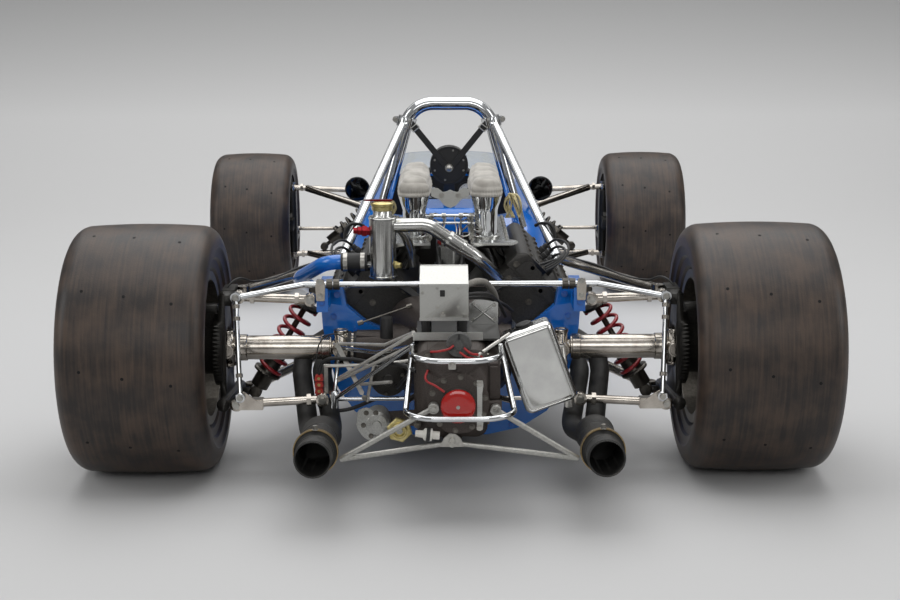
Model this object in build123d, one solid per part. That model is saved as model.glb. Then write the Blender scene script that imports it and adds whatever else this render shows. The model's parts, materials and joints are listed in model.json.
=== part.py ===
from build123d import *
import math
import os

# A single-seat open wheel racing car of the late 1960s: a riveted monocoque tub, a stressed 90 degree V8
# behind the driver, a transaxle behind that, and outboard suspension on tubular links.
# Millimetres. +X is the car's right, +Y forwards, +Z up, origin on the ground under the middle of its length.

# Layout
WHEELBASE = 2400
REAR_OVERHANG = 540  # rear axle back to the tailpipes' mouths
FRONT_OVERHANG = 800  # front axle forward to the nose's lip
REAR_TRACK = 1600
FRONT_TRACK = 1600
SEAT_GAP = 0.3  # clearance where one piece seats on, or turns in, another
FAR = 2000  # past everything, for cutting blocks

# Tyres and wheels
REAR_TYRE_R = 330
REAR_TYRE_WIDTH = 371
REAR_RIM_R = 190.5  # bead seat of a 15 inch wheel
FRONT_TYRE_R = 285
FRONT_TYRE_WIDTH = 319
FRONT_RIM_R = 165  # bead seat of a 13 inch wheel
BARREL_WALL = 9
FLANGE_HEIGHT = 14
FLANGE_WIDTH = 7
SPOKE_COUNT = 5
SPOKE_ROOT_WIDTH = 62
SPOKE_TIP_WIDTH = 44
SPOKE_THICK = 26
SPOKE_FACE = 46  # outer face of the spokes, outboard of the wheel's centre plane
HUB_R = 58
HUB_INBOARD = 22  # hub's inner face, inboard of the centre plane
HUB_CAP = 14
STUB_R = 30  # rear stub axle
SPINDLE_R = 22  # front spindle
STUB_REACH = 45  # how far stub and spindle reach past the wheel's centre plane
DISC_R = 128
DISC_THICK = 20
DISC_EYE_R = 76
DISC_HAT_WALL = 8
DISC_INBOARD = 70  # disc's inner face, inboard of the wheel's centre plane
CALIPER_LENGTH = 120
CALIPER_WALL = 22
CALIPER_REACH = 40

# Body
TUB_FLOOR = 140  # top of the cockpit floor above the ground
WAIST_Z = 400  # joint between the tub and the scuttle cowl
SKIN = 8
PANEL_GAP = 0.4
COCKPIT_HALF = 225
COCKPIT_LENGTH = 810
COCKPIT_CORNER = 90
FOOTWELL_HALF = 178
PEDALS_AHEAD = 40  # footwell's end, ahead of the front axle
DECK_LENGTH = 300  # closed deck between the tub's rear face and the cockpit
HUMP_HALF = 150  # raised fairing on that deck, behind the driver's shoulders
HUMP_TOP = 588
HUMP_ROUND = 38
NOSE_JOINT_AHEAD = 240  # tub's front bulkhead, ahead of the front axle
RADIATOR = (360, 46, 200)
RADIATOR_AHEAD = 60  # of the front bulkhead
RADIATOR_Z = 255
RADIATOR_PIPE = (24, 70)
DASH_SPAN = (2, 8)
DASH_OFF_WAIST = 4

# Cockpit
SCREEN_BEHIND = 165  # ends of the screen, behind the dash
SCREEN_THICK = 4
SCREEN_FOOT = (430, 262, 300)  # height, half width and depth of the screen's bow
SCREEN_TOP = (645, 205, 195)
SEAT_WIDE = 360
SEAT_THICK = 14
SEAT_OFF_BULKHEAD = 24
SEAT_TOP = 505
SEAT_RAKE = 105  # how far the back leans
SEAT_REACH = 470
SEAT_BEND = 85
PAD_Z = 702  # headrest
PAD_D = 122
POST_HALF = 18
STRAP_SIZE = (20, 3.7)
STRAP_ENDS = ((8, 698), (128, 846))  # x and height
MIRROR_AT = (308, 485, 591)  # x, ahead of the tub's rear face, height
MIRROR_FACING = (0, 1, 0.08)
MIRROR_RADII = (42, 17)  # mouth and back
MIRROR_DEEP = 52
MIRROR_GLASS = (78, 5)
STALK_ENDS = ((300, 515, 580), (268, 540, 500))
STALK_D = 12

# Engine
PLATE_AHEAD = 60  # rear face of the blue cross plate, ahead of the rear axle
PLATE_THICK = 36
ENGINE_LENGTH = 590
CRANK_Z = 215
DECK_S = 235  # distances along a bank's axis from the crank
HEAD_S = 330
COVER_S = 392
HEAD_HALF = 105
HEAD_SET_IN = 14  # heads' rear face, ahead of the block's
HEAD_SHORT = 40  # heads' length, less than the block's
PORT_S = 300
DECK_HALF = 95
VALLEY_Z = 335
CRANKCASE_HALF = [(0, 85), (112, 85), (150, 128), (172, 235)]  # x and height, right half from below
COVER_IN = -115  # edges of a cam cover across the bank, towards the exhaust
COVER_OUT = 117
COVER_ROUND = 24
COVER_SHORT = 40  # head left bare ahead of its cover
PLUG_TROUGH = (52, 16)  # trough down the middle of a cam cover
BORE_PITCH = 104
FIRST_BORE = 154  # rearmost cylinder, ahead of the engine's rear face
TRUMPET_X = 100
SLIDE_Z = 560  # underside of the throttle slide housings
SLIDE_SIZE = (108, 24)
SLIDE_OUT = 9  # middle of the slides, outboard of the trumpets
SLIDE_END = 52  # past the end cylinders
INLET_D = 48
# Columns: half width, start and end from the first cylinder, underside, top
METERING_BODIES = [(46, 30, 230, 330, 470), (40, -20, 290, 460, 545)]
DISTRIBUTOR = (68, -52, 566)  # diameter, from the first cylinder, top
TRUMPET_TOP = 700
TRUMPET_WALL = 2.5
TRUMPET_RADII = (30, 32, 44)  # foot, neck and lip
TRUMPET_FLARE = 40  # height of the flared lip
SOCK_TALL = 62  # cloth covers over the trumpets
SOCK_WIDE = 98
SOCK_ROUND = 46
PRIMARY_D = 44
SECONDARY_D = 52
TAILPIPE_D = 88
TAILPIPE_WALL = 3
TAILPIPE_X = {"left": 328, "right": 362}  # the tail stands a little to the right, as photographed
TAILPIPE_Z = 190
TAIL_THROAT = (250, 163)  # collector behind the axle, and its height
TAIL_RING_IN = 95  # clamp ring's middle, in from the mouth
TAIL_RING = (16, 16)  # clamp ring's extra diameter and width
TAIL_CONE = (6, 60)  # collector's extra radius and length
TAIL_BORE = 170
KNEE_OUT = 42  # primary's first bend, out from the head
KNEE_BACK = 50
PRIMARY_BENDS = [26, 30]
SECONDARY_BEND = [120, 120]
SECONDARY_START = (100, 20, 242)  # where two primaries meet and where they dive, ahead of the plate, and its height
SECONDARY_DIP = (-130, 146)  # ahead of the rear axle, height
SECONDARY_END = (-290, 168)

# Transaxle
GEARBOX_HALF = 85
GEARBOX_UNDER = 115  # underside and top from the axle's height
GEARBOX_OVER = 100
GEARBOX_TAIL = 440  # behind the rear axle
OUTPUT_X = 250  # output flange's face
OUTPUT_R = 46
SHAFT_D = 64
JOINT_INNER_X = 292
JOINT_OUTER_X = 592
JOINT_SPAN = 92
JOINT_CAP_D = 36

# Columns: ahead of the rear axle, above it, width, height, corner radius
BELL_ENDS = [(PLATE_AHEAD - SEAT_GAP, -10, 330, 270, 70), (-70, -5, 180, 205, 40)]
CASE_FRONT = 70
CASE_ROUND = 28
RIBS_BEHIND = (130, 200, 270, 340)
RIB_THICK = 12
RIB_PROUD = 7
RIB_SHORT = 30
CHEEK_SPAN = 320
TAIL_COVER = (14, -28, 150, 18)  # x, up, diameter, proud of the tail
JACKING_LUG = (24, 18, 24)  # half width, thickness, drop
LUG_IN = 6  # lug's rear face, in from the tail
BRACE_LUG = (34, 14, -64, -27)  # out from the case, thickness, underside and top

# Cross plate: x and height, right half from below
PLATE_HALF = [(0, 65), (100, 68), (190, 88), (262, 135), (306, 200), (328, 280), (345, 370), (352, 495),
              (292, 495), (280, 428), (226, 381), (150, 350), (0, 350)]
EAR_X = (322, 352)  # lugs for the links and dampers
EAR_REAR = (45, 105, 168)  # behind the axle, underside, top
HORN_FRONT = (165, 124, 160)  # ahead of the axle, underside, top

# Tubes
HOOP_D = 42
STAY_D = 30
RADIUS_ROD_D = 28
ROLL_BAR_D = 16
DROP_LINK_D = 13
CAGE_D = 14
TRUSS_D = 11
BRACE_D = 13
SPRING_D = 78
WIRE_D = 11
SPRING_TURNS = 6
DAMPER_D = 50
DAMPER_ROD_D = 16
SPRING_SEAT = 8

# Front suspension and steering
KINGPIN_X = 648
KINGPIN_UP = 143  # ball joints from the axle's height
KINGPIN_DOWN = 137
EYE_D = 32
EYE_TALL = 24
STEER_ARM = 115
STEER_ARM_DROP = 61  # arm's top face below the axle
RACK_TUBE_D = 40
TRACK_ROD_D = 16
STEERING_WHEEL_R = 140
STEERING_RIM_D = 22
COLUMN_D = 22
COLUMN_TILT = 20
COLUMN_LENGTH = 420
STEERING_AT = (130, 470)  # behind the dash, height
STEERING_BOSS = (64, 13)
STEERING_SPOKE = (26, 4)
STEERING_SPOKE_ANGLES = (90, 210, 330)

LENGTH = REAR_OVERHANG + WHEELBASE + FRONT_OVERHANG
REAR_AXLE_Y = REAR_OVERHANG - LENGTH / 2
FRONT_AXLE_Y = REAR_AXLE_Y + WHEELBASE
ENGINE_REAR = PLATE_AHEAD + PLATE_THICK
ENGINE_FRONT = ENGINE_REAR + ENGINE_LENGTH
TUB_REAR = ENGINE_FRONT + SEAT_GAP
COCKPIT_BACK = TUB_REAR + DECK_LENGTH
DASH = COCKPIT_BACK + COCKPIT_LENGTH
NOSE_JOINT = WHEELBASE + NOSE_JOINT_AHEAD
NOSE_TIP = WHEELBASE + FRONT_OVERHANG
HOOP_AHEAD = TUB_REAR + 250
BANK = math.sqrt(0.5)  # sine and cosine of the 45 degree bank angle

# Columns: ahead of the rear axle, half width, underside, top, lower corner radius, upper corner radius
BODY_STATIONS = [
    (TUB_REAR, 288, 95, 505, 80, 85),
    (TUB_REAR + 280, 316, 92, 525, 92, 115),
    (TUB_REAR + 560, 335, 90, 547, 102, 138),
    (TUB_REAR + 835, 338, 90, 560, 106, 150),
    (DASH, 328, 90, 562, 106, 156),
    (WHEELBASE - 377, 303, 92, 526, 104, 152),
    (WHEELBASE - 150, 275, 95, 483, 100, 145),
    (WHEELBASE + 45, 256, 99, 452, 95, 138),
    (NOSE_JOINT, 240, 105, 425, 90, 130),
    (NOSE_JOINT + 260, 228, 120, 382, 85, 112),
    (NOSE_TIP - 120, 212, 143, 345, 72, 92),
    (NOSE_TIP, 180, 180, 298, 50, 55),
]

SIDES = {"left": -1, "right": 1}


def car(x, ahead, z):
    """A point by its distance ahead of the rear axle and its height above the ground."""
    return Vector(x, REAR_AXLE_Y + ahead, z)


def rear(x, ahead, up):
    """A point measured from the rear axle line."""
    return Vector(x, REAR_AXLE_Y + ahead, REAR_TYRE_R + up)


def front(x, ahead, up):
    """A point measured from the front axle line."""
    return Vector(x, FRONT_AXLE_Y + ahead, FRONT_TYRE_R + up)


def bank(along, across, ahead):
    """A point of the right cylinder bank: along its axis, across it towards the exhaust, ahead of the axle."""
    return car(BANK * (along + across), ahead, CRANK_Z + BANK * (along - across))


def rod(start, end, diameter):
    run = end - start
    return Solid.make_cylinder(diameter / 2, run.length, Plane(origin=start, z_dir=run))


def barrel(centre, axis, diameter, length):
    direction = Vector(*axis).normalized()
    return Solid.make_cylinder(diameter / 2, length, Plane(origin=centre - direction * (length / 2), z_dir=direction))


def bent_tube(points, radii, diameter):
    path = FilletPolyline(*points, radius=radii)
    return sweep(Plane(origin=path @ 0, z_dir=path % 0) * Circle(diameter / 2), path=path)


def block(low, high):
    """A box between two corners."""
    size = high - low
    return Pos((low + high) / 2) * Box(size.X, size.Y, size.Z)


def slab(ahead, thickness, face):
    """A face drawn in X and Z, set across the car and thickened forwards."""
    plane = Plane(origin=car(0, ahead, 0), x_dir=(1, 0, 0), z_dir=(0, -1, 0))
    return extrude(plane * face, amount=thickness, dir=(0, 1, 0))


def link(start, end, diameter, eye_diameter, eye_axis, eye_length):
    """A suspension link: a tube with a rod end at each end."""
    eyes = [barrel(p, eye_axis, eye_diameter, eye_length) for p in (start, end)]
    return rod(start, end, diameter) + eyes


def both_sides(shape):
    return [shape, mirror(shape, about=Plane.YZ)]


def ahead_of(ahead, low_z=-100, high_z=1500):
    """Everything forward of a station."""
    return block(car(-1500, ahead, low_z), car(1500, NOSE_TIP + 500, high_z))


def station_face(ahead, half, low, high, low_r, high_r, inset):
    outline = make_face(Polyline((-half + inset, low + inset), (half - inset, low + inset),
                                 (half - inset, high - inset), (-half + inset, high - inset), close=True))
    rows = outline.vertices().group_by(Axis.Y)
    face = fillet(rows[-1], high_r - inset)
    face = fillet(face.vertices().group_by(Axis.Y)[0], low_r - inset)
    return Plane(origin=car(0, ahead, 0), x_dir=(1, 0, 0), z_dir=(0, -1, 0)) * face


def body_form(inset):
    """The outside of the bodywork from the engine to the nose's lip, or a surface inset from it."""
    return loft([station_face(*station, inset) for station in BODY_STATIONS])


def bodywork():
    outer = body_form(0)
    inner = body_form(SKIN)
    nose = (outer & ahead_of(NOSE_JOINT + PANEL_GAP)) - inner
    cowl_room = block(car(-FAR, DASH, WAIST_Z), car(FAR, NOSE_JOINT, FAR))
    cowl = (outer & block(car(-FAR, DASH, WAIST_Z + PANEL_GAP), car(FAR, NOSE_JOINT, FAR))) - inner
    cockpit_middle = COCKPIT_BACK + (COCKPIT_LENGTH + COCKPIT_CORNER) / 2
    opening = RectangleRounded(2 * COCKPIT_HALF, COCKPIT_LENGTH + COCKPIT_CORNER, COCKPIT_CORNER)
    cockpit = Pos(car(0, cockpit_middle, TUB_FLOOR)) * extrude(opening, amount=FAR)
    footwell = block(car(-FOOTWELL_HALF, DASH, TUB_FLOOR), car(FOOTWELL_HALF, WHEELBASE + PEDALS_AHEAD, WAIST_Z + 1))
    hump = block(car(-HUMP_HALF, TUB_REAR + HUMP_ROUND, WAIST_Z), car(HUMP_HALF, COCKPIT_BACK, HUMP_TOP))
    hump = fillet(hump.edges().filter_by(Axis.Z) + hump.edges().group_by(Axis.Z)[-1], HUMP_ROUND)
    tub = outer - ahead_of(NOSE_JOINT) - cowl_room + hump - cockpit - footwell
    rack_bore = barrel(front(0, STEER_ARM, -STEER_ARM_DROP + EYE_TALL / 2), (1, 0, 0), RACK_TUBE_D, FAR)
    tub = tub - rack_bore
    column_room = rod(column_point(-COLUMN_LENGTH), column_point(2 * COLUMN_LENGTH), COLUMN_D + 2 * SEAT_GAP)
    dash_back, dash_front = DASH_SPAN
    dash_room = block(car(-FAR, DASH + dash_back, WAIST_Z + DASH_OFF_WAIST), car(FAR, DASH + dash_front, FAR))
    dash = (body_form(SKIN + SEAT_GAP) & dash_room) - column_room
    return outer, {"monocoque_tub": tub, "nose_cone": nose, "scuttle_cowl": cowl, "dash_panel": dash}


def screen_ring(half, depth, thickness):
    """A bow of screen in plan, its ends at y 0 and its crown at y depth."""
    outside = ThreePointArc((-half, 0), (0, depth), (half, 0))
    inside = ThreePointArc((half - thickness, 0), (0, depth - thickness), (-half + thickness, 0))
    ends = [Line(outside @ 1, inside @ 0), Line(inside @ 1, outside @ 0)]
    return make_face([outside, ends[0], inside, ends[1]])


def cockpit_fittings(outer):
    bows = []
    for height, half, depth in (SCREEN_FOOT, SCREEN_TOP):
        bows.append(Pos(car(0, DASH - SCREEN_BEHIND, height)) * screen_ring(half, depth, SCREEN_THICK))
    screen = loft(bows) - outer
    seat_back = COCKPIT_BACK + SEAT_OFF_BULKHEAD
    seat_z = TUB_FLOOR + SEAT_THICK / 2 + SEAT_GAP
    seat_path = FilletPolyline(car(0, seat_back, SEAT_TOP), car(0, seat_back + SEAT_RAKE, seat_z),
                               car(0, seat_back + SEAT_REACH, seat_z), radius=SEAT_BEND)
    seat_plane = Plane(origin=seat_path @ 0, x_dir=(1, 0, 0), z_dir=seat_path % 0)
    seat = sweep(seat_plane * Rectangle(SEAT_WIDE, SEAT_THICK), path=seat_path)
    post = block(car(-POST_HALF, HOOP_AHEAD - POST_HALF, HUMP_TOP + SEAT_GAP),
                 car(POST_HALF, HOOP_AHEAD + POST_HALF, PAD_Z))
    headrest = post + barrel(car(0, HOOP_AHEAD, PAD_Z), (0, 1, 0), PAD_D, HOOP_D)
    strap_back = HOOP_AHEAD - HOOP_D / 2 - SEAT_GAP
    strap_wide, strap_thick = STRAP_SIZE
    (low_x, low_z), (high_x, high_z) = STRAP_ENDS
    strap = rod(car(low_x, strap_back, low_z), car(high_x, strap_back, high_z), strap_wide)
    strap = strap & block(car(low_x / 2, strap_back - strap_thick, 0), car(FAR, strap_back, FAR))
    strap = strap - hoop_clamp(CLAMP_D + 2 * SEAT_GAP)
    mirror_x, mirror_ahead, mirror_z = MIRROR_AT
    mirror_at, mirror_axis = car(mirror_x, TUB_REAR + mirror_ahead, mirror_z), Vector(*MIRROR_FACING).normalized()
    mouth_r, back_r = MIRROR_RADII
    housing = Solid.make_cone(mouth_r, back_r, MIRROR_DEEP, Plane(origin=mirror_at, z_dir=mirror_axis))
    stalk_ends = [car(x, TUB_REAR + ahead, z) for x, ahead, z in STALK_ENDS]
    stalk = rod(*stalk_ends, STALK_D) - outer
    glass_d, glass_thick = MIRROR_GLASS
    glass = rod(mirror_at - mirror_axis * glass_thick, mirror_at - mirror_axis * SEAT_GAP, glass_d)
    radiator_width, radiator_deep, radiator_tall = RADIATOR
    radiator_back = NOSE_JOINT + RADIATOR_AHEAD
    core = block(car(-radiator_width / 2, radiator_back, RADIATOR_Z - radiator_tall / 2),
                 car(radiator_width / 2, radiator_back + radiator_deep, RADIATOR_Z + radiator_tall / 2))
    pipe_d, pipe_length = RADIATOR_PIPE
    pipe_ahead = NOSE_JOINT + pipe_length / 2
    for x in (-radiator_width / 3, radiator_width / 3):
        core = core + barrel(car(x, pipe_ahead, RADIATOR_Z), (0, 1, 0), pipe_d, pipe_length - 2 * SEAT_GAP)
    return {"windscreen": screen, "seat": seat, "headrest": [headrest] + both_sides(strap),
            "mirrors": both_sides(housing + stalk) + both_sides(glass), "radiator": core}


def column_point(forwards):
    """A point of the steering column's axis, counted from the steering wheel's centre."""
    tilt = math.radians(COLUMN_TILT)
    behind_dash, centre_z = STEERING_AT
    return car(0, DASH - behind_dash + forwards * math.cos(tilt), centre_z - forwards * math.sin(tilt))


def steering_wheel():
    forwards = (column_point(1) - column_point(0)).normalized()
    face = Plane(origin=column_point(0), x_dir=(1, 0, 0), z_dir=forwards)
    wheel = Solid.make_torus(STEERING_WHEEL_R, STEERING_RIM_D / 2, face)
    boss_d, boss_half = STEERING_BOSS
    wheel = wheel + rod(column_point(-boss_half), column_point(boss_half), boss_d)
    wheel = wheel + rod(column_point(0), column_point(COLUMN_LENGTH), COLUMN_D)
    spoke_wide, spoke_thick = STEERING_SPOKE
    for angle in STEERING_SPOKE_ANGLES:
        spoke = Pos((STEERING_WHEEL_R / 2, 0, 0)) * Box(STEERING_WHEEL_R, spoke_wide, spoke_thick)
        wheel = wheel + face * Rot(0, 0, angle) * spoke
    return wheel


HOOP_FOOT_X, HOOP_FOOT_Z = 252, 420
HOOP_CROWN_X, HOOP_CROWN_Z = 118, 897
HOOP_BEND = 88
CLAMP_DOWN = 62  # clamp's middle, down the leg from the hoop's corner
CLAMP_LENGTH = 34
CLAMP_D = 60
STAY_TOP = (12, -18, -8)  # from the clamp's middle
STAY_FOOT_ACROSS = 50  # foot on the cam cover, across its bank
STAY_FOOT_AHEAD = 576
STAY_FOOT_SIZE = (42, 20)  # diameter and height


def hoop_tube(diameter):
    corners = [car(-HOOP_FOOT_X, HOOP_AHEAD, HOOP_FOOT_Z), car(-HOOP_CROWN_X, HOOP_AHEAD, HOOP_CROWN_Z),
               car(HOOP_CROWN_X, HOOP_AHEAD, HOOP_CROWN_Z), car(HOOP_FOOT_X, HOOP_AHEAD, HOOP_FOOT_Z)]
    return bent_tube(corners, HOOP_BEND, diameter)


def clamp_line():
    """The middle of the right clamp and the way the hoop's leg runs down through it."""
    corner = car(HOOP_CROWN_X, HOOP_AHEAD, HOOP_CROWN_Z)
    leg = (car(HOOP_FOOT_X, HOOP_AHEAD, HOOP_FOOT_Z) - corner).normalized()
    return corner + leg * CLAMP_DOWN, leg


def hoop_clamp(diameter):
    middle, leg = clamp_line()
    return barrel(middle, leg, diameter, CLAMP_LENGTH)


def roll_hoop(outer):
    """The hoop in the tub, and a stay each side from its clamp back to a foot on the cam cover."""
    middle, _ = clamp_line()
    foot_d, foot_tall = STAY_FOOT_SIZE
    on_cover = bank(COVER_S + SEAT_GAP, STAY_FOOT_ACROSS, STAY_FOOT_AHEAD)
    out_of_cover = Vector(BANK, 0, BANK)
    foot_top = on_cover + out_of_cover * foot_tall
    foot = rod(on_cover, foot_top, foot_d)
    stay = rod(middle + Vector(*STAY_TOP), foot_top - out_of_cover * (foot_tall - STAY_D / 2), STAY_D)
    under_foot = Plane(origin=on_cover, z_dir=out_of_cover)
    stay = stay - under_foot * Pos(0, 0, -FAR / 2) * Box(FAR, FAR, FAR)
    stay = stay + foot + hoop_clamp(CLAMP_D) - hoop_tube(HOOP_D + 2 * SEAT_GAP) - outer
    return {"roll_hoop": hoop_tube(HOOP_D) - outer, "roll_hoop_stays": both_sides(stay)}


def engine():
    deck_out, deck_in = bank(DECK_S, DECK_HALF, 0), bank(DECK_S, -DECK_HALF, 0)
    half = CRANKCASE_HALF + [(deck_out.X, deck_out.Z), (deck_in.X, deck_in.Z), (0, VALLEY_Z)]
    outline = half + [(-x, z) for x, z in reversed(half[1:-1])]
    crankcase = make_face(Polyline(*outline, close=True))
    block_casting = slab(ENGINE_REAR + SEAT_GAP, ENGINE_LENGTH - SEAT_GAP, crankcase)
    bank_plane = Plane(origin=car(0, ENGINE_REAR + HEAD_SET_IN, CRANK_Z), x_dir=(BANK, 0, -BANK), z_dir=(0, -1, 0))
    deep = ENGINE_LENGTH - HEAD_SHORT
    head_face = Pos(0, (DECK_S + HEAD_S) / 2) * Rectangle(2 * HEAD_HALF, HEAD_S - DECK_S - SEAT_GAP)
    head = extrude(bank_plane * head_face, amount=deep, dir=(0, 1, 0))
    cover_middle, cover_wide, cover_tall = (COVER_IN + COVER_OUT) / 2, COVER_OUT - COVER_IN, COVER_S - HEAD_S - SEAT_GAP
    cover_face = Pos(cover_middle, COVER_S - cover_tall / 2) * Rectangle(cover_wide, cover_tall)
    cover_face = fillet(cover_face.vertices().group_by(Axis.Y)[-1], COVER_ROUND)
    trough_wide, trough_deep = PLUG_TROUGH
    trough = Pos(cover_middle, COVER_S - trough_deep / 2) * Rectangle(trough_wide, trough_deep)
    cover = extrude(bank_plane * (cover_face - trough), amount=deep - COVER_SHORT, dir=(0, 1, 0))
    slide_wide, slide_tall = SLIDE_SIZE
    first = ENGINE_REAR + FIRST_BORE
    last = first + 3 * BORE_PITCH
    slide = block(car(TRUMPET_X + SLIDE_OUT - slide_wide / 2, first - SLIDE_END, SLIDE_Z),
                  car(TRUMPET_X + SLIDE_OUT + slide_wide / 2, last + SLIDE_END, SLIDE_Z + slide_tall))
    trumpets = []
    foot = SLIDE_Z + slide_tall + SEAT_GAP
    foot_r, neck_r, lip_r = TRUMPET_RADII
    for cylinder in range(4):
        ahead = first + cylinder * BORE_PITCH
        inlet = rod(car(TRUMPET_X + SLIDE_OUT, ahead, SLIDE_Z + 1), bank(PORT_S, -HEAD_HALF - 1, ahead), INLET_D)
        slide = slide + inlet
        outside = [(foot_r, foot), (neck_r, TRUMPET_TOP - TRUMPET_FLARE), (lip_r, TRUMPET_TOP)]
        inside = [(r - TRUMPET_WALL, z) for r, z in reversed(outside)]
        flare = make_face(Polyline(*outside, *inside, close=True))
        trumpets.append(Pos(car(TRUMPET_X, ahead, 0)) * revolve(Plane.XZ * flare, axis=Axis.Z))
    sock = block(car(TRUMPET_X - SOCK_WIDE / 2, first - SOCK_WIDE / 2, TRUMPET_TOP + SEAT_GAP),
                 car(TRUMPET_X + SOCK_WIDE / 2, last + SOCK_WIDE / 2, TRUMPET_TOP + SOCK_TALL))
    sock = fillet(sock.edges().filter_by(Axis.Z), SOCK_ROUND)
    sock = fillet(sock.edges().group_by(Axis.Z)[-1], SOCK_ROUND - 2)
    head_room = extrude(bank_plane * (Pos(0, PORT_S) * Rectangle(2 * HEAD_HALF, 2 * HEAD_HALF)), amount=deep, dir=(0, 1, 0))
    slide = slide - head_room
    metering = None
    for half_wide, start, end, low, high in METERING_BODIES:
        body = block(car(-half_wide, first + start, low), car(half_wide, first + end, high))
        metering = body if metering is None else metering + body
    drum_d, drum_ahead, drum_top = DISTRIBUTOR
    metering = metering + rod(car(0, first + drum_ahead, VALLEY_Z + drum_d), car(0, first + drum_ahead, drum_top), drum_d)
    metering = metering - block_casting
    return {"engine_block": block_casting, "cylinder_heads": both_sides(head), "cam_covers": both_sides(cover),
            "throttle_slides": both_sides(slide) + [metering],
            "intake_trumpets": [t for s in trumpets for t in both_sides(s)], "intake_covers": both_sides(sock)}


# Columns: X of the secondary's lane beside the plate, X under the lower link, X from the tailpipe's, lane height
EXHAUST_LANES = [(406, 372, 18, 275), (352, 310, -18, 245)]


def tail_points(side):
    """A tailpipe's mouth, its throat and the way from throat to mouth, drawn on the right."""
    throat_behind, throat_z = TAIL_THROAT
    mouth = car(TAILPIPE_X[side], -REAR_OVERHANG, TAILPIPE_Z)
    throat = car(TAILPIPE_X[side], -throat_behind, throat_z)
    return mouth, throat, (mouth - throat).normalized()


def exhaust(side):
    """One bank's manifold: pairs of primaries into two secondaries, which dip under the lower link to a tailpipe."""
    mouth, throat, back = tail_points(side)
    ring_more, ring_wide = TAIL_RING
    cone_more, cone_length = TAIL_CONE
    system = Solid.make_cone(TAILPIPE_D / 2 + cone_more, TAILPIPE_D / 2, cone_length, Plane(origin=throat, z_dir=back))
    system = system + rod(throat + back * (cone_length - 2), mouth, TAILPIPE_D)
    system = system + barrel(mouth - back * TAIL_RING_IN, back, TAILPIPE_D + ring_more, ring_wide)
    merge_ahead, dive_ahead, dive_z = SECONDARY_START
    under_ahead, under_z = SECONDARY_DIP
    end_ahead, end_z = SECONDARY_END
    for lane, (beside_x, under_x, from_tail, lane_z) in enumerate(EXHAUST_LANES):
        merge = car(beside_x, PLATE_AHEAD + merge_ahead, lane_z)
        for cylinder in (2 * lane, 2 * lane + 1):
            ahead = ENGINE_REAR + FIRST_BORE + cylinder * BORE_PITCH
            port, knee = bank(PORT_S, HEAD_HALF + SEAT_GAP, ahead), bank(PORT_S, HEAD_HALF + KNEE_OUT, ahead)
            lane_start = car(beside_x, ahead - KNEE_BACK, lane_z)
            system = system + bent_tube([port, knee, lane_start, merge], PRIMARY_BENDS, PRIMARY_D)
        system = system + bent_tube([merge, car(beside_x, PLATE_AHEAD + dive_ahead, dive_z),
                                     car(under_x, under_ahead, under_z),
                                     car(TAILPIPE_X[side] + from_tail, end_ahead, end_z)], SECONDARY_BEND, SECONDARY_D)
    bore = rod(mouth - back * TAIL_BORE, mouth + back * TAILPIPE_WALL, TAILPIPE_D - 2 * TAILPIPE_WALL)
    square_end = block(car(0, -REAR_OVERHANG - TAILPIPE_D, 0), car(FAR, -REAR_OVERHANG, FAR))
    return system - bore - square_end


def gearbox():
    bell_faces = []
    for ahead, up, wide, tall, corner in BELL_ENDS:
        across = Plane(origin=rear(0, ahead, up), x_dir=(1, 0, 0), z_dir=(0, -1, 0))
        bell_faces.append(across * RectangleRounded(wide, tall, corner))
    case_middle = rear(0, -(CASE_FRONT + GEARBOX_TAIL) / 2, (GEARBOX_OVER - GEARBOX_UNDER) / 2)
    case = Box(2 * GEARBOX_HALF, GEARBOX_TAIL - CASE_FRONT, GEARBOX_OVER + GEARBOX_UNDER)
    case = Pos(case_middle) * fillet(case.edges().filter_by(Axis.Y), CASE_ROUND)
    rib_x = GEARBOX_HALF + RIB_PROUD
    ribs = [block(rear(-rib_x, -behind - RIB_THICK / 2, RIB_SHORT - GEARBOX_UNDER),
                  rear(rib_x, -behind + RIB_THICK / 2, GEARBOX_OVER - RIB_SHORT)) for behind in RIBS_BEHIND]
    outputs = barrel(rear(0, 0, 0), (1, 0, 0), 2 * OUTPUT_R, 2 * OUTPUT_X - 2 * SEAT_GAP)
    cheeks = barrel(rear(0, 0, 0), (1, 0, 0), 2 * PLATE_AHEAD - 2, CHEEK_SPAN)
    cover_x, cover_up, cover_d, cover_proud = TAIL_COVER
    tail_cover = barrel(rear(cover_x, -GEARBOX_TAIL, cover_up), (0, 1, 0), cover_d, 2 * cover_proud)
    lug_half, lug_thick, lug_drop = JACKING_LUG
    lug = block(rear(-lug_half, LUG_IN - GEARBOX_TAIL, -GEARBOX_UNDER - lug_drop),
                rear(lug_half, LUG_IN + lug_thick - GEARBOX_TAIL, 4 - GEARBOX_UNDER))
    brace_out, brace_thick, brace_low, brace_high = BRACE_LUG
    brace_lug = block(rear(GEARBOX_HALF / 2, -GEARBOX_TAIL, brace_low),
                      rear(GEARBOX_HALF + brace_out, brace_thick - GEARBOX_TAIL, brace_high))
    return loft(bell_faces) + case + ribs + outputs + cheeks + tail_cover + lug + brace_lug


def cross_plate():
    """The fabricated plate behind the engine that carries the top links, dampers and anti-roll bar."""
    outline = PLATE_HALF + [(-x, z) for x, z in reversed(PLATE_HALF[1:-1])]
    plate = slab(PLATE_AHEAD, PLATE_THICK, make_face(Polyline(*outline, close=True)))
    inner, outer_x = EAR_X
    ear_behind, ear_low, ear_high = EAR_REAR
    horn_ahead, horn_low, horn_high = HORN_FRONT
    ear = block(rear(inner, -ear_behind, ear_low), rear(outer_x, PLATE_AHEAD + 1, ear_high))
    horn = block(rear(inner, PLATE_AHEAD + PLATE_THICK - 1, horn_low), rear(outer_x, horn_ahead, horn_high))
    return plate + both_sides(ear) + both_sides(horn)


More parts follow.
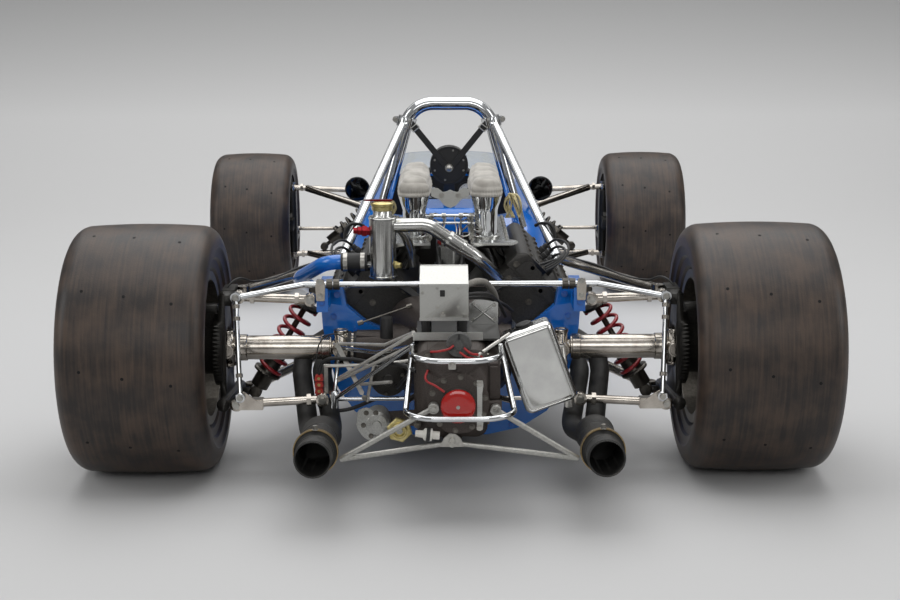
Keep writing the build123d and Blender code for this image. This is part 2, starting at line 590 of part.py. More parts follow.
# Columns: inner x and height from the axle line, outer end's ahead and up
RADIUS_RODS = {"upper": (280, 107, 82, 138), "lower": (268, -150, 185, -158)}
RADIUS_ROD_IN = 115  # inner ends, ahead of the tub's rear face
ROLL_BAR_BEND = (385, -30)  # x, ahead
ROLL_BAR_END = (548, -58, 150)
ROLL_BAR_BEND_R = 40
DROP_LINK = ((561, -60, 149.6), (546, -142.5, -98))
DROP_EYE_D = 26
DROP_EYE_TALL = 18
REAR_DAMPER = ((369.5, 140, 128), (540, 140, -158))
REAR_SPRING_SEATS = (52, 268)  # down from the top eye
REAR_DAMPER_BODY = (60, 18)  # above the lower seat, short of the foot
FRONT_DAMPER = ((266, 75, 92), (520, 19, -109.5))
FRONT_SPRING_SEATS = (60, 250)
FRONT_DAMPER_BODY = (55, 30)
FRONT_DAMPER_PIVOT = (20, 110)
UPRIGHT_X = 592  # middle of the rear upright's web and lower beam
BEAM_D = 34
ROD_END_D = 34
ROD_END_TALL = 26
OUTER_EYE_X = UPRIGHT_X - (BEAM_D + ROD_END_D) / 2 - SEAT_GAP

# Columns: inner end (x, ahead, up), outer end, tube diameter, all from the rear axle line
REAR_LINKS = {
    "top_link": ((369.5, -20, 134), (OUTER_EYE_X, -20, 142), 24),
    "lower_link": ((334.5, -120, -110), (OUTER_EYE_X, -120, -122), 22),
}


def spring_unit(top, foot, seat_span, body_span, eye):
    """A damper with spring seats down its axis, and its coil spring."""
    down = (foot - top).normalized()
    seat_top, seat_foot = top + down * seat_span[0], top + down * seat_span[1]
    body_over, body_short = body_span
    damper = rod(top, foot, DAMPER_ROD_D)
    damper = damper + [barrel(p, (0, 1, 0), *eye) for p in (top, foot)]
    damper = damper + rod(seat_foot - down * body_over, foot - down * body_short, DAMPER_D)
    damper = damper + [barrel(p, down, SPRING_D, SPRING_SEAT) for p in (seat_top, seat_foot)]
    rest = SPRING_SEAT / 2 + SEAT_GAP
    return damper, coil(seat_top + down * rest, seat_foot - down * rest)


def rear_suspension(outer):
    links, radius_rods = [], []
    for start, end, diameter in REAR_LINKS.values():
        links.append(link(rear(*start), rear(*end), diameter, ROD_END_D, (0, 1, 0), ROD_END_TALL))
    for inner_x, inner_up, ahead, up in RADIUS_RODS.values():
        outer_end = rear(OUTER_EYE_X, ahead, up)
        inner_end = rear(inner_x, TUB_REAR + RADIUS_ROD_IN, inner_up)
        radius_rods.append(rod(inner_end, outer_end, RADIUS_ROD_D) - outer
                           + barrel(outer_end, (0, 0, 1), ROD_END_D, ROD_END_TALL))
    bar_up = EAR_REAR[2] + SEAT_GAP + ROLL_BAR_D / 2
    bend_x, bend_ahead = ROLL_BAR_BEND
    end_x, end_ahead, end_up = ROLL_BAR_END
    bar = bent_tube([rear(-end_x, end_ahead, end_up), rear(-bend_x, bend_ahead, bar_up), rear(bend_x, bend_ahead, bar_up),
                     rear(end_x, end_ahead, end_up)], ROLL_BAR_BEND_R, ROLL_BAR_D)
    drop = link(*[rear(*p) for p in DROP_LINK], DROP_LINK_D, DROP_EYE_D, (0, 1, 0), DROP_EYE_TALL)
    top, foot = [rear(*p) for p in REAR_DAMPER]
    damper, spring = spring_unit(top, foot, REAR_SPRING_SEATS, REAR_DAMPER_BODY, (ROD_END_D, ROD_END_TALL))
    return {"rear_links": [s for x in links + radius_rods for s in both_sides(x)],
            "anti_roll_bar": [bar] + both_sides(drop)}, damper, spring


def coil(start, end):
    """A coil spring between two seats, its ends just clear of them."""
    run = (end - start).length
    pitch = (run - WIRE_D) / SPRING_TURNS
    helix = Helix(pitch=pitch, height=pitch * SPRING_TURNS, radius=(SPRING_D - WIRE_D) / 2)
    wire = sweep(Plane(origin=helix @ 0, z_dir=helix % 0) * RegularPolygon(WIRE_D / 2, 8), path=helix, is_frenet=True)
    axis = (end - start).normalized()
    return Plane(origin=start + axis * (WIRE_D / 2), z_dir=axis) * wire


def rear_upright():
    """The right rear upright: bearing housing, top lug and a lower beam between the links' outer ends."""
    bearing_x = UPRIGHT_X + 26
    housing = rod(rear(bearing_x, 0, 0), rear(716, 0, 0), 140)
    web_face = make_face(Polyline((-60, -150), (100, -150), (70, 60), (28, 150), (-44, 150), (-62, 40), close=True))
    web_plane = Plane(origin=rear(UPRIGHT_X, 0, 0), x_dir=(0, 1, 0), z_dir=(1, 0, 0))
    joint_room = barrel(rear(UPRIGHT_X, 0, 0), (1, 0, 0), JOINT_SPAN + 24, 110)
    web = extrude(web_plane * web_face, amount=17) - joint_room
    beam = rod(rear(UPRIGHT_X, -135, -121), rear(UPRIGHT_X, 204, -160), BEAM_D)
    beam = beam + rod(rear(UPRIGHT_X, 140, -157), rear(557 + SEAT_GAP, 140, -158), 22)
    top_lug = block(rear(UPRIGHT_X - BEAM_D / 2, -42, 122), rear(UPRIGHT_X + 17, 26, 150))
    front_lug = block(rear(UPRIGHT_X - BEAM_D / 2, 20, 124), rear(UPRIGHT_X + 17, 100, 152))
    collar = rod(rear(UPRIGHT_X + 8, 0, 0), rear(UPRIGHT_X + 30, 0, 0), 200) - joint_room
    caliper_face = REAR_TRACK / 2 - DISC_INBOARD - CALIPER_WALL - SEAT_GAP
    caliper_arm = block(rear(bearing_x, -18, 60), rear(caliper_face, 18, 118))
    bore = rod(rear(500, 0, 0), rear(800, 0, 0), 2 * STUB_R + 2 * SEAT_GAP)
    return housing + web + beam + top_lug + front_lug + collar + caliper_arm - bore


def driveshaft():
    """The right half shaft: two crossed joints, the tube between them and the stub axle through the upright."""
    shaft = rod(rear(OUTPUT_X, 0, 0), rear(JOINT_INNER_X - 14, 0, 0), 2 * OUTPUT_R - 10)
    shaft = shaft + rod(rear(JOINT_INNER_X - 20, 0, 0), rear(JOINT_OUTER_X + 20, 0, 0), 40)
    shaft = shaft + rod(rear(JOINT_INNER_X + 26, 0, 0), rear(JOINT_OUTER_X - 26, 0, 0), SHAFT_D)
    for x in (JOINT_INNER_X, JOINT_OUTER_X):
        for axis in ((0, 1, 0), (0, 0, 1)):
            shaft = shaft + barrel(rear(x, 0, 0), axis, JOINT_CAP_D, JOINT_SPAN)
    return shaft + rod(rear(JOINT_OUTER_X, 0, 0), rear(REAR_TRACK / 2 + STUB_REACH, 0, 0), 2 * STUB_R)


def tyre(radius, width, rim_r, rim_half):
    """A slick tyre about the X axis: bead, bulged sidewall, round shoulder and a slightly crowned tread."""
    bead, shoulder_r = rim_half - FLANGE_WIDTH - SEAT_GAP, radius - 62
    heel_r, flange_r = rim_r + SEAT_GAP, rim_r + FLANGE_HEIGHT + 1
    half, tread_half, tread_r = width / 2, width / 2 - 36, radius - 5
    wall_r = (flange_r + shoulder_r) / 2
    outline = [Line((bead, heel_r), (bead, flange_r)),
             ThreePointArc((bead, flange_r), (half - 6, wall_r), (half, shoulder_r)),
               ThreePointArc((half, shoulder_r), (half - 9, radius - 22), (tread_half, tread_r)),
             ThreePointArc((tread_half, tread_r), (0, radius), (-tread_half, tread_r)),
             ThreePointArc((-tread_half, tread_r), (9 - half, radius - 22), (-half, shoulder_r)),
             ThreePointArc((-half, shoulder_r), (6 - half, wall_r), (-bead, flange_r)),
             Line((-bead, flange_r), (-bead, heel_r)), Line((-bead, heel_r), (bead, heel_r))]
    return revolve(make_face(outline), axis=Axis.X)


def rim(rim_r, half, bore_r):
    """A cast spoked wheel about the X axis, its outside towards +X."""
    inside = rim_r - BARREL_WALL
    section = make_face(Polyline((-half, inside), (half, inside), (half, rim_r + FLANGE_HEIGHT),
                                 (half - FLANGE_WIDTH, rim_r + FLANGE_HEIGHT), (half - FLANGE_WIDTH, rim_r),
                                 (FLANGE_WIDTH - half, rim_r), (FLANGE_WIDTH - half, rim_r + FLANGE_HEIGHT),
                                 (-half, rim_r + FLANGE_HEIGHT), close=True))
    wheel = revolve(section, axis=Axis.X)
    spoke_face = make_face(Polyline((-SPOKE_ROOT_WIDTH / 2, HUB_R - 10), (SPOKE_ROOT_WIDTH / 2, HUB_R - 10),
                                    (SPOKE_TIP_WIDTH / 2, inside + 3), (-SPOKE_TIP_WIDTH / 2, inside + 3), close=True))
    spoke_plane = Plane(origin=(SPOKE_FACE - SPOKE_THICK, 0, 0), x_dir=(0, 1, 0), z_dir=(1, 0, 0))
    spoke = extrude(spoke_plane * spoke_face, amount=SPOKE_THICK)
    for turn in range(SPOKE_COUNT):
        wheel = wheel + Rot(360 / SPOKE_COUNT * turn, 0, 0) * spoke
    wheel = wheel + rod(Vector(-HUB_INBOARD + SEAT_GAP, 0, 0), Vector(SPOKE_FACE + HUB_CAP, 0, 0), 2 * HUB_R)
    wheel = wheel + rod(Vector(SPOKE_FACE, 0, 0), Vector(SPOKE_FACE + 2 * HUB_CAP, 0, 0), HUB_R)
    return wheel - rod(Vector(-100, 0, 0), Vector(STUB_REACH + 1, 0, 0), 2 * bore_r)


def brake_disc(eye_r):
    """A disc and its hat about the X axis, the hat's flange seated on the wheel's hub."""
    low, high, flange = -DISC_INBOARD, DISC_THICK - DISC_INBOARD, -HUB_INBOARD
    section = make_face(Polyline((low, DISC_EYE_R), (low, DISC_R), (high, DISC_R), (high, DISC_EYE_R + DISC_HAT_WALL),
                                 (flange, DISC_EYE_R + DISC_HAT_WALL), (flange, eye_r), (flange - DISC_HAT_WALL, eye_r),
                                 (flange - DISC_HAT_WALL, DISC_EYE_R), close=True))
    return revolve(section, axis=Axis.X)


def caliper(direction):
    """A brake caliper about the X axis, straddling the disc on the side that direction (y, z) points to."""
    middle = DISC_THICK / 2 - DISC_INBOARD
    outside, inside = DISC_R + 14, DISC_R - CALIPER_REACH
    wide = DISC_THICK + 2 * CALIPER_WALL
    body = Pos(middle, (outside + inside) / 2, 0) * Box(wide, outside - inside, CALIPER_LENGTH)
    body = body & barrel(Vector(middle, 0, 0), (1, 0, 0), 2 * outside, wide)
    body = body - barrel(Vector(middle, 0, 0), (1, 0, 0), 2 * DISC_R + 6, DISC_THICK + 6)
    return Rot(math.degrees(math.atan2(direction[1], direction[0])), 0, 0) * body


def front_upright():
    """The right front upright: kingpin post, spindle, steering arm and caliper lug."""
    post_top, post_low = KINGPIN_UP - EYE_TALL / 2 - SEAT_GAP, -KINGPIN_DOWN + EYE_TALL / 2 + SEAT_GAP
    post = block(front(KINGPIN_X - 16, -26, post_low), front(KINGPIN_X + 18, 26, post_top))
    centre_x = FRONT_TRACK / 2
    boss = rod(front(KINGPIN_X, 0, 0), front(KINGPIN_X + 56, 0, 0), 96)
    spindle = rod(front(KINGPIN_X, 0, 0), front(centre_x + STUB_REACH, 0, 0), 2 * SPINDLE_R)
    arm = block(front(KINGPIN_X - 16, 0, -STEER_ARM_DROP - 20), front(KINGPIN_X + 12, STEER_ARM + 14, -STEER_ARM_DROP))
    disc_face = centre_x - DISC_INBOARD - CALIPER_WALL - SEAT_GAP
    lug = block(front(KINGPIN_X - 10, -112, -22), front(disc_face, 0, 22))
    return post + boss + spindle + arm + lug


# Columns: inner end (x, ahead, up), outer end, tube diameter, from the front axle line
FRONT_ARMS = {
    "top_link": ((200, 30, 118), (KINGPIN_X, 0, KINGPIN_UP), 22),
    "top_radius_arm": ((250, -430, 100), (KINGPIN_X - 62, 5, KINGPIN_UP - 4), 28),
    "lower_link": ((200, 60, -137), (KINGPIN_X, 0, -KINGPIN_DOWN), 22),
    "lower_radius_arm": ((250, -430, -137), (KINGPIN_X - 62, 9, -KINGPIN_DOWN), 24),
}


def front_suspension(outer):
    arms = []
    for name, (start, end, diameter) in FRONT_ARMS.items():
        arm = rod(front(*start), front(*end), diameter)
        if name.endswith("link"):
            arm = arm + barrel(front(*end), (0, 0, 1), EYE_D, EYE_TALL)
        arms.append((name, arm - outer))
    links = {name: arm for name, arm in arms}
    for level in ("top", "lower"):
        links[level + "_radius_arm"] = links[level + "_radius_arm"] - links[level + "_link"]
    top, foot = [front(*p) for p in FRONT_DAMPER]
    damper, spring = spring_unit(top, foot, FRONT_SPRING_SEATS, FRONT_DAMPER_BODY, (EYE_D, EYE_TALL))
    pivot_d, pivot_in = FRONT_DAMPER_PIVOT
    damper = damper + rod(top, top - Vector(pivot_in, 0, 0), pivot_d) - outer
    return {"front_arms": [s for x in links.values() for s in both_sides(x)]}, damper, spring


def steering_rack():
    rack_z = -STEER_ARM_DROP + EYE_TALL / 2
    tube_end = 262
    housing = barrel(front(0, STEER_ARM, rack_z), (1, 0, 0), RACK_TUBE_D - 2 * SEAT_GAP, 2 * tube_end)
    bore = barrel(front(0, STEER_ARM, rack_z), (1, 0, 0), TRACK_ROD_D + 2 * SEAT_GAP, 2 * tube_end + 10)
    end_x = KINGPIN_X - 4
    rods = barrel(front(0, STEER_ARM, rack_z), (1, 0, 0), TRACK_ROD_D, 2 * end_x)
    for x in (-end_x, end_x):
        eye_middle = front(x, STEER_ARM, -STEER_ARM_DROP + EYE_TALL / 2)
        rods = rods + barrel(eye_middle, (0, 0, 1), 28, EYE_TALL - 2 * SEAT_GAP)
    return {"rack_housing": housing - bore, "track_rods": rods}


CATCH_TANK = (134, 80, 212)  # width, depth, height
CATCH_TANK_AT = (216, 262, 16)  # x, behind the rear axle, above it
CATCH_TANK_LEAN = 20
CATCH_TANK_ROUND = 18
TANK_STRUT_X = 195
CAGE_ROOT, CAGE_SIDE, CAGE_BACK = -285, -350, -506
CAGE_BENDS = [30, 78, 78, 30]
CAGE_HOOPS = [(-52, -111, 149), (88, -95, 117)]  # up, left, right
CAGE_POSTS = [((-111, -425, -52), (-95, -362, 94)), ((149, -425, -52), (117, -362, 94))]
TRUSS_PICK_UP = (305, -120, -110)
TRUSS_EYE = (292, -80, 18)
TRUSS_KNEE = (190, -150, 22)
TRUSS_LOW_ROOT = (-130, -106)  # ahead, up, on the case's side
TRUSS_MID_ROOT = (-160, -20)
TRUSS_END_LEFT = (-95, -352, 88)
TRUSS_END_RIGHT = (80, -212, 60)
PICK_UP_D, PICK_UP_TALL = 24, 44
BRACE_DROP = 14
BRACE_BELOW_RING = 20
TRAY = (-86, 118, -350, -150)  # left, right, rear, front
TRAY_THICK = 5
LAMP = (84, 32)  # diameter, depth
BOX_FLAT = 18
BOX_FOOT = (10, -320, -262)  # half width, rear, front
HEADER_AT = (-180, 46, 510)  # x, ahead, height of its foot
HEADER_SIZE = (72, 165, 50, 192)  # tank's diameter and height, neck's diameter and height
HEADER_FOOT = (18, 14, 44)  # half width, underside, top
HEADER_STUB = (38, 42, -232)  # diameter, height, x of its end
OUTLET_LINE = [(-180, 46, 650), (-60, 40, 652), (70, 52, 562), (158, 150, 458)]
OUTLET_BENDS = [60, 70]
OUTLET_D = 37
RETURN_LINE = [(-330, 46, 552), (-418, 190, 480), (-394, 590, 352), (-250, TUB_REAR + 40, 330)]
RETURN_BENDS = [70, 90, 70]
RETURN_D = 40
# Left, right, underside, rear, front, where the slope starts and top, from the rear axle line
IGNITION_BOX = (-77, 41, 149, -345, -240, 240, 268)
# Where the upper exhaust braces are bolted: x, ahead, up
BRACE_TOP = {"left": (-44, -468, -35), "right": (104, -450, -45)}
BRACE_EYE = (26, 19.4)  # diameter and length of the eye at their bolt


def rear_fittings():
    """What hangs on the transaxle: tube cage, exhaust braces, tray, ignition box, lamp, tanks and water pipes."""
    frame = []
    for up, left, right in CAGE_HOOPS:
        frame.append(bent_tube([rear(-GEARBOX_HALF, CAGE_ROOT, up), rear(left, CAGE_SIDE, up), rear(left, CAGE_BACK, up),
                                rear(right, CAGE_BACK, up), rear(right, CAGE_SIDE, up),
                                rear(GEARBOX_HALF, CAGE_ROOT, up)], CAGE_BENDS, CAGE_D))
    for foot, head in CAGE_POSTS:
        frame.append(rod(rear(*foot), rear(*head), CAGE_D))
    tank_wide, tank_deep, tank_tall = CATCH_TANK
    tank_x, tank_behind, tank_up = CATCH_TANK_AT
    case_side = GEARBOX_HALF - 5
    pick_x, pick_ahead, pick_up = TRUSS_PICK_UP
    eye_x, eye_ahead, eye_up = TRUSS_EYE
    knee_x, knee_ahead, knee_up = TRUSS_KNEE
    low_ahead, low_up = TRUSS_LOW_ROOT
    mid_ahead, mid_up = TRUSS_MID_ROOT
    for sign in SIDES.values():
        pick, eye = rear(sign * pick_x, pick_ahead, pick_up), rear(sign * eye_x, eye_ahead, eye_up)
        knee = rear(sign * knee_x, knee_ahead, knee_up)
        end = rear(*TRUSS_END_LEFT) if sign < 0 else rear(*TRUSS_END_RIGHT)
        frame.append(barrel(pick, (0, 0, 1), PICK_UP_D, PICK_UP_TALL))
        for start, finish in ((pick, rear(sign * case_side, low_ahead, low_up)), (eye, knee), (knee, end), (pick, eye),
                              (knee, rear(sign * case_side, mid_ahead, mid_up))):
            frame.append(rod(start, finish, TRUSS_D))
    frame.append(rod(rear(-pick_x, pick_ahead, pick_up), rear(*TRUSS_END_LEFT), TRUSS_D))
    tank_face = -tank_behind + tank_deep / 2 + SEAT_GAP
    frame.append(rod(rear(TANK_STRUT_X, knee_ahead, knee_up), rear(TANK_STRUT_X, tank_face, knee_up), TRUSS_D))
    cage = frame[0]
    for tube in frame[1:]:
        cage = cage + tube
    cage = cage - gearbox()
    brace_low = rear(0, LUG_IN - GEARBOX_TAIL - BRACE_D / 2 - SEAT_GAP, -GEARBOX_UNDER - BRACE_DROP)
    brace = []
    for side, sign in SIDES.items():
        mouth, _, back = tail_points(side)
        ring_x = sign * (TAILPIPE_X[side] - (TAILPIPE_D + TAIL_RING[0] + BRACE_D) / 2 - SEAT_GAP)
        ring = mouth - back * TAIL_RING_IN
        at_ring = Vector(ring_x, ring.Y, ring.Z - BRACE_BELOW_RING)
        brace.append(rod(at_ring, brace_low, BRACE_D))
        brace.append(rod(at_ring, rear(*BRACE_TOP[side]), BRACE_D))
        brace.append(barrel(rear(*BRACE_TOP[side]), (0, 1, 0), *BRACE_EYE))
    braces = brace[0]
    for tube in brace[1:]:
        braces = braces + tube
    tray_low, tray_top = GEARBOX_OVER + SEAT_GAP, GEARBOX_OVER + SEAT_GAP + TRAY_THICK
    tray_left, tray_right, tray_back, tray_front = TRAY
    tray = block(rear(tray_left, tray_back, tray_low), rear(tray_right, tray_front, tray_top))
    box_left, box_right, box_low, box_back, box_front, box_shoulder, box_top = IGNITION_BOX
    side_view = make_face(Polyline((box_back, box_low), (box_front, box_low), (box_front, box_top),
                                   (box_front - BOX_FLAT, box_top), (box_back, box_shoulder), close=True))
    ignition = extrude(Plane(origin=rear(box_left, 0, 0), x_dir=(0, 1, 0), z_dir=(1, 0, 0)) * side_view,
                       amount=box_right - box_left)
    foot_half, foot_back, foot_front = BOX_FOOT
    for x in (box_left + BOX_FLAT, box_right - BOX_FLAT):
        ignition = ignition + block(rear(x - foot_half, foot_back, tray_top + SEAT_GAP),
                                    rear(x + foot_half, foot_front, box_low + 1))
    cover_x, cover_up, _, cover_proud = TAIL_COVER
    lamp_d, lamp_deep = LAMP
    lamp = barrel(rear(cover_x, -GEARBOX_TAIL - cover_proud - SEAT_GAP - lamp_deep / 2, cover_up), (0, 1, 0), lamp_d,
                  lamp_deep)
    catch = fillet(Box(*CATCH_TANK).edges(), CATCH_TANK_ROUND)
    catch = Pos(rear(tank_x, -tank_behind, tank_up)) * Rot(0, -CATCH_TANK_LEAN, 0) * catch
    header_x, header_ahead, header_z = HEADER_AT
    tank_d, tank_top, neck_d, neck_top = HEADER_SIZE
    base, top = car(header_x, header_ahead, header_z), Vector(0, 0, 1)
    header = rod(base, base + top * tank_top, tank_d) + rod(base, base + top * neck_top, neck_d)
    head_face = ENGINE_REAR + HEAD_SET_IN - SEAT_GAP
    foot_half, foot_low, foot_high = HEADER_FOOT
    header = header + block(car(header_x - foot_half, header_ahead, header_z + foot_low),
                            car(header_x + foot_half, head_face, header_z + foot_high))
    stub_d, stub_up, stub_x = HEADER_STUB
    stub = car(stub_x, header_ahead, header_z + stub_up)
    header = header + rod(base + top * stub_up, stub, stub_d)
    head_wall = block(car(-FAR, head_face, 0), car(FAR, ENGINE_FRONT, FAR))
    outlet = bent_tube([car(*p) for p in OUTLET_LINE], OUTLET_BENDS, OUTLET_D) - head_wall
    outlet = outlet - rod(base - top * tank_d, base + top * tank_top, tank_d + 2 * SEAT_GAP)
    return_line = [stub - Vector(SEAT_GAP, 0, 0)] + [car(*p) for p in RETURN_LINE]
    blue = bent_tube(return_line, RETURN_BENDS, RETURN_D)
    blue = blue & block(car(-FAR, -FAR, 0), car(0, TUB_REAR - SEAT_GAP, FAR))
    return {"rear_frame": [cage, braces], "ignition_box": [ignition, tray], "rear_lamp": lamp, "catch_tank": catch,
            "header_tank": [header, outlet], "water_return_pipe": blue}


def wheel_sets():
    """The tyre, wheel and disc of each corner, turned so that the spokes face outwards."""
    made = {}
    corners = {"front": (FRONT_TRACK, FRONT_AXLE_Y, FRONT_TYRE_R, FRONT_TYRE_WIDTH, FRONT_RIM_R, 132, SPINDLE_R),
               "rear": (REAR_TRACK, REAR_AXLE_Y, REAR_TYRE_R, REAR_TYRE_WIDTH, REAR_RIM_R, 162, STUB_R)}
    for axle, (track, y, radius, width, rim_r, half, bore_r) in corners.items():
        bore = bore_r + SEAT_GAP
        right = {"tyre": [tyre(radius, width, rim_r, half)], "wheel": [rim(rim_r, half, bore), brake_disc(bore + 10)]}
        for piece, shapes in right.items():
            placed = [Pos(track / 2, y, radius) * shape for shape in shapes]
            made[f"{axle}_{piece}_right"] = placed
            made[f"{axle}_{piece}_left"] = [mirror(shape, about=Plane.YZ) for shape in placed]
    return made


def build():
    body, nodes = bodywork()
    clear_of_body = body_form(-SEAT_GAP)
    nodes.update(cockpit_fittings(clear_of_body))
    nodes["steering_wheel"] = steering_wheel()
    nodes.update(roll_hoop(clear_of_body))
    nodes.update(engine())
    nodes["exhaust_right"] = exhaust("right")
    nodes["exhaust_left"] = mirror(exhaust("left"), about=Plane.YZ)
    nodes["gearbox"] = gearbox()
    nodes["cross_plate"] = cross_plate()
    rear_nodes, rear_damper, rear_spring = rear_suspension(clear_of_body)
    nodes.update(rear_nodes)
    front_nodes, front_damper, front_spring = front_suspension(clear_of_body)
    nodes.update(front_nodes)
    nodes["dampers"] = both_sides(rear_damper) + both_sides(front_damper)
    nodes["springs"] = both_sides(rear_spring) + both_sides(front_spring)
    rear_caliper = Pos(REAR_TRACK / 2, REAR_AXLE_Y, REAR_TYRE_R) * caliper((0, 1))
    nodes["rear_uprights"] = both_sides(rear_upright()) + both_sides(rear_caliper)
    nodes.update(rear_fittings())
    nodes.update(steering_rack())
    nodes.update(wheel_sets())
    front_caliper = Pos(FRONT_TRACK / 2, FRONT_AXLE_Y, FRONT_TYRE_R) * caliper((-1, 0))
    for name, shapes in (("front_upright", [front_upright(), front_caliper]), ("driveshaft", [driveshaft()])):
        nodes[name + "_right"] = shapes
        nodes[name + "_left"] = [mirror(shape, about=Plane.YZ) for shape in shapes]
    return nodes


def main():
    os.makedirs("parts", exist_ok=True)
    for name, shape in build().items():
        solids = [s for item in (shape if isinstance(shape, list) else [shape]) for s in item.solids()]
        export_step(solids[0] if len(solids) == 1 else Compound(children=solids), f"parts/{name}.step")


main()
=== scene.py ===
import bpy
import bmesh
import json
import math
from mathutils import Matrix, Vector
from mathutils.bvhtree import BVHTree

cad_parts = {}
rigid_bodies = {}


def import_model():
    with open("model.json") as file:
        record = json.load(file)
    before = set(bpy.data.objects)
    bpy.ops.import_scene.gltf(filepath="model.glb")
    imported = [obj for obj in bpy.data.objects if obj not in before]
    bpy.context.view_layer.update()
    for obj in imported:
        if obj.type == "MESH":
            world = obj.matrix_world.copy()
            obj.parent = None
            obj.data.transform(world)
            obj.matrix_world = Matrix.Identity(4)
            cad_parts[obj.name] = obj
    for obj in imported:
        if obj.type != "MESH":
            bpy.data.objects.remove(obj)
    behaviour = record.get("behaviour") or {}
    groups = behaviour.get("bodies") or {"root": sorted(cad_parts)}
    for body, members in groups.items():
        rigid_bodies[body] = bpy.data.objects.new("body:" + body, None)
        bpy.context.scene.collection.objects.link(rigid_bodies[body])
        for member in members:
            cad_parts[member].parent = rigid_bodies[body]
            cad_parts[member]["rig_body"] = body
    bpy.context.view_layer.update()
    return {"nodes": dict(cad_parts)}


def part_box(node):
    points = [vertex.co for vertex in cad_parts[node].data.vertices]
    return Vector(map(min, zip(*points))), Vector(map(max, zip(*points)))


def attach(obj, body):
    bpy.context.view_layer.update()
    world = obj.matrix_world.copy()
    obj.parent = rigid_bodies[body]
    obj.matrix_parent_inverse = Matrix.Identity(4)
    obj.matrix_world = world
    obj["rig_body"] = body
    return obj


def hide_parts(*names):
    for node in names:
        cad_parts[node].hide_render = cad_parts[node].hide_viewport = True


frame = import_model()

# Studio: a pale floor that sweeps up into the backdrop, soft lamps overhead and at the sides.
# Lengths are metres. "Ahead" is measured from the rear axle towards the nose, as the car is set out.
rear_low, rear_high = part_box("rear_tyre_right")
front_low, front_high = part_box("front_tyre_right")
REAR_Y = (rear_low.y + rear_high.y) / 2
FRONT_Y = (front_low.y + front_high.y) / 2
REAR_R = rear_high.z / 2
FRONT_R = front_high.z / 2
WHEEL_X = (rear_low.x + rear_high.x) / 2
RIGHT, AHEAD, UP = (1, 0, 0), (0, 1, 0), (0, 0, 1)
BACK, DOWN = (0, -1, 0), (0, 0, -1)
SIDES = (("left", -1), ("right", 1))
AXLES = (("rear", REAR_R, REAR_Y), ("front", FRONT_R, FRONT_Y))


def at(x, ahead, z):
    """A point of the car: across, ahead of the rear axle, above the ground."""
    return Vector((x, REAR_Y + ahead, z))


def srgb(hex_code):
    """A linear colour from an sRGB hex value."""
    shares = [int(hex_code[i:i + 2], 16) / 255 for i in (1, 3, 5)]
    return (*[c / 12.92 if c <= 0.04045 else ((c + 0.055) / 1.055) ** 2.4 for c in shares], 1.0)


def add(tree, kind, properties=None, values=None, links=None):
    """Adds a node with its properties, its sockets' values and the sockets that feed it."""
    node = tree.nodes.new(kind)
    for name, value in (properties or {}).items():
        setattr(node, name, value)
    for name, value in (values or {}).items():
        node.inputs[name].default_value = value
    for name, source in (links or {}).items():
        tree.links.new(source, node.inputs[name])
    return node


def new_material(name, values=None):
    """A material with its shader's values, its tree and its shader."""
    material = bpy.data.materials.new(name)
    material.use_nodes = True
    shader = material.node_tree.nodes["Principled BSDF"]
    for label, value in (values or {}).items():
        shader.inputs[label].default_value = value
    return material, material.node_tree, shader


def ramp(tree, source, dark, light, low=0.0, high=1.0):
    """A colour that goes from dark to light while its source goes from low to high."""
    node = add(tree, "ShaderNodeValToRGB", links={0: source})
    first, last = node.color_ramp.elements
    first.position, first.color = low, srgb(dark)
    last.position, last.color = high, srgb(light)
    return node.outputs[0]


def bumped(tree, shader, source, strength, distance):
    """Gives a shader relief that follows a source."""
    bump = add(
        tree, "ShaderNodeBump", values={"Strength": strength, "Distance": distance},
        links={"Height": source})
    tree.links.new(bump.outputs[0], shader.inputs["Normal"])


def linked(name, data):
    """A new object in the scene's collection."""
    thing = bpy.data.objects.new(name, data)
    bpy.context.scene.collection.objects.link(thing)
    return thing


def applied(piece):
    """The mesh that an object's modifiers or bevel make of it."""
    return bpy.data.meshes.new_from_object(piece.evaluated_get(bpy.context.evaluated_depsgraph_get()))


def mesh_piece(name, verts, faces, material):
    """A new piece from its points and faces, in one finish."""
    mesh = bpy.data.meshes.new(name)
    mesh.from_pydata([tuple(v) for v in verts], [], faces)
    mesh.materials.append(material)
    return linked(name, mesh)


def smooth(piece, angle=35):
    """Shades a piece smoothly, apart from edges sharper than an angle."""
    mesh = piece.data
    mesh.polygons.foreach_set("use_smooth", [True] * len(mesh.polygons))
    mesh.set_sharp_from_angle(angle=math.radians(angle))
    return piece


# The floor is one sheet: flat under the car, then a quarter round up to an upright backdrop ahead of it.
floor_paint, tree, shader = new_material(
    "studio_floor_paint", {"Roughness": 0.75, "Specular IOR Level": 0.2})
# Painted shade: the floor's colour darkens from #BFBFBF to #9A9A9A between 5.4 and 7.4 m along Y, up the
# backdrop's curve, for the lesser light on the upper backdrop.
BRIGHT_TO, DARK_FROM = 5.4, 7.4
place = add(tree, "ShaderNodeTexCoord").outputs["Object"]
depth = add(tree, "ShaderNodeSeparateXYZ", links={0: place})
backdrop_painted_shade = add(
    tree, "ShaderNodeMapRange", values={1: BRIGHT_TO, 2: DARK_FROM}, links={0: depth.outputs["Y"]})
tree.links.new(ramp(tree, backdrop_painted_shade.outputs[0], "#BFBFBF", "#9A9A9A"), shader.inputs["Base Color"])
FLOOR_HALF, SWEEP_START, SWEEP_R, SWEEP_TALL = 16.0, 3.0, 9.0, 16.0
floor_line = [(-FLOOR_HALF, 0.0), (SWEEP_START, 0.0)]
floor_line += [
    (SWEEP_START + SWEEP_R * math.sin(math.radians(a)), SWEEP_R * (1 - math.cos(math.radians(a))))
    for a in range(3, 91, 3)]
floor_line += [(SWEEP_START + SWEEP_R, SWEEP_TALL)]
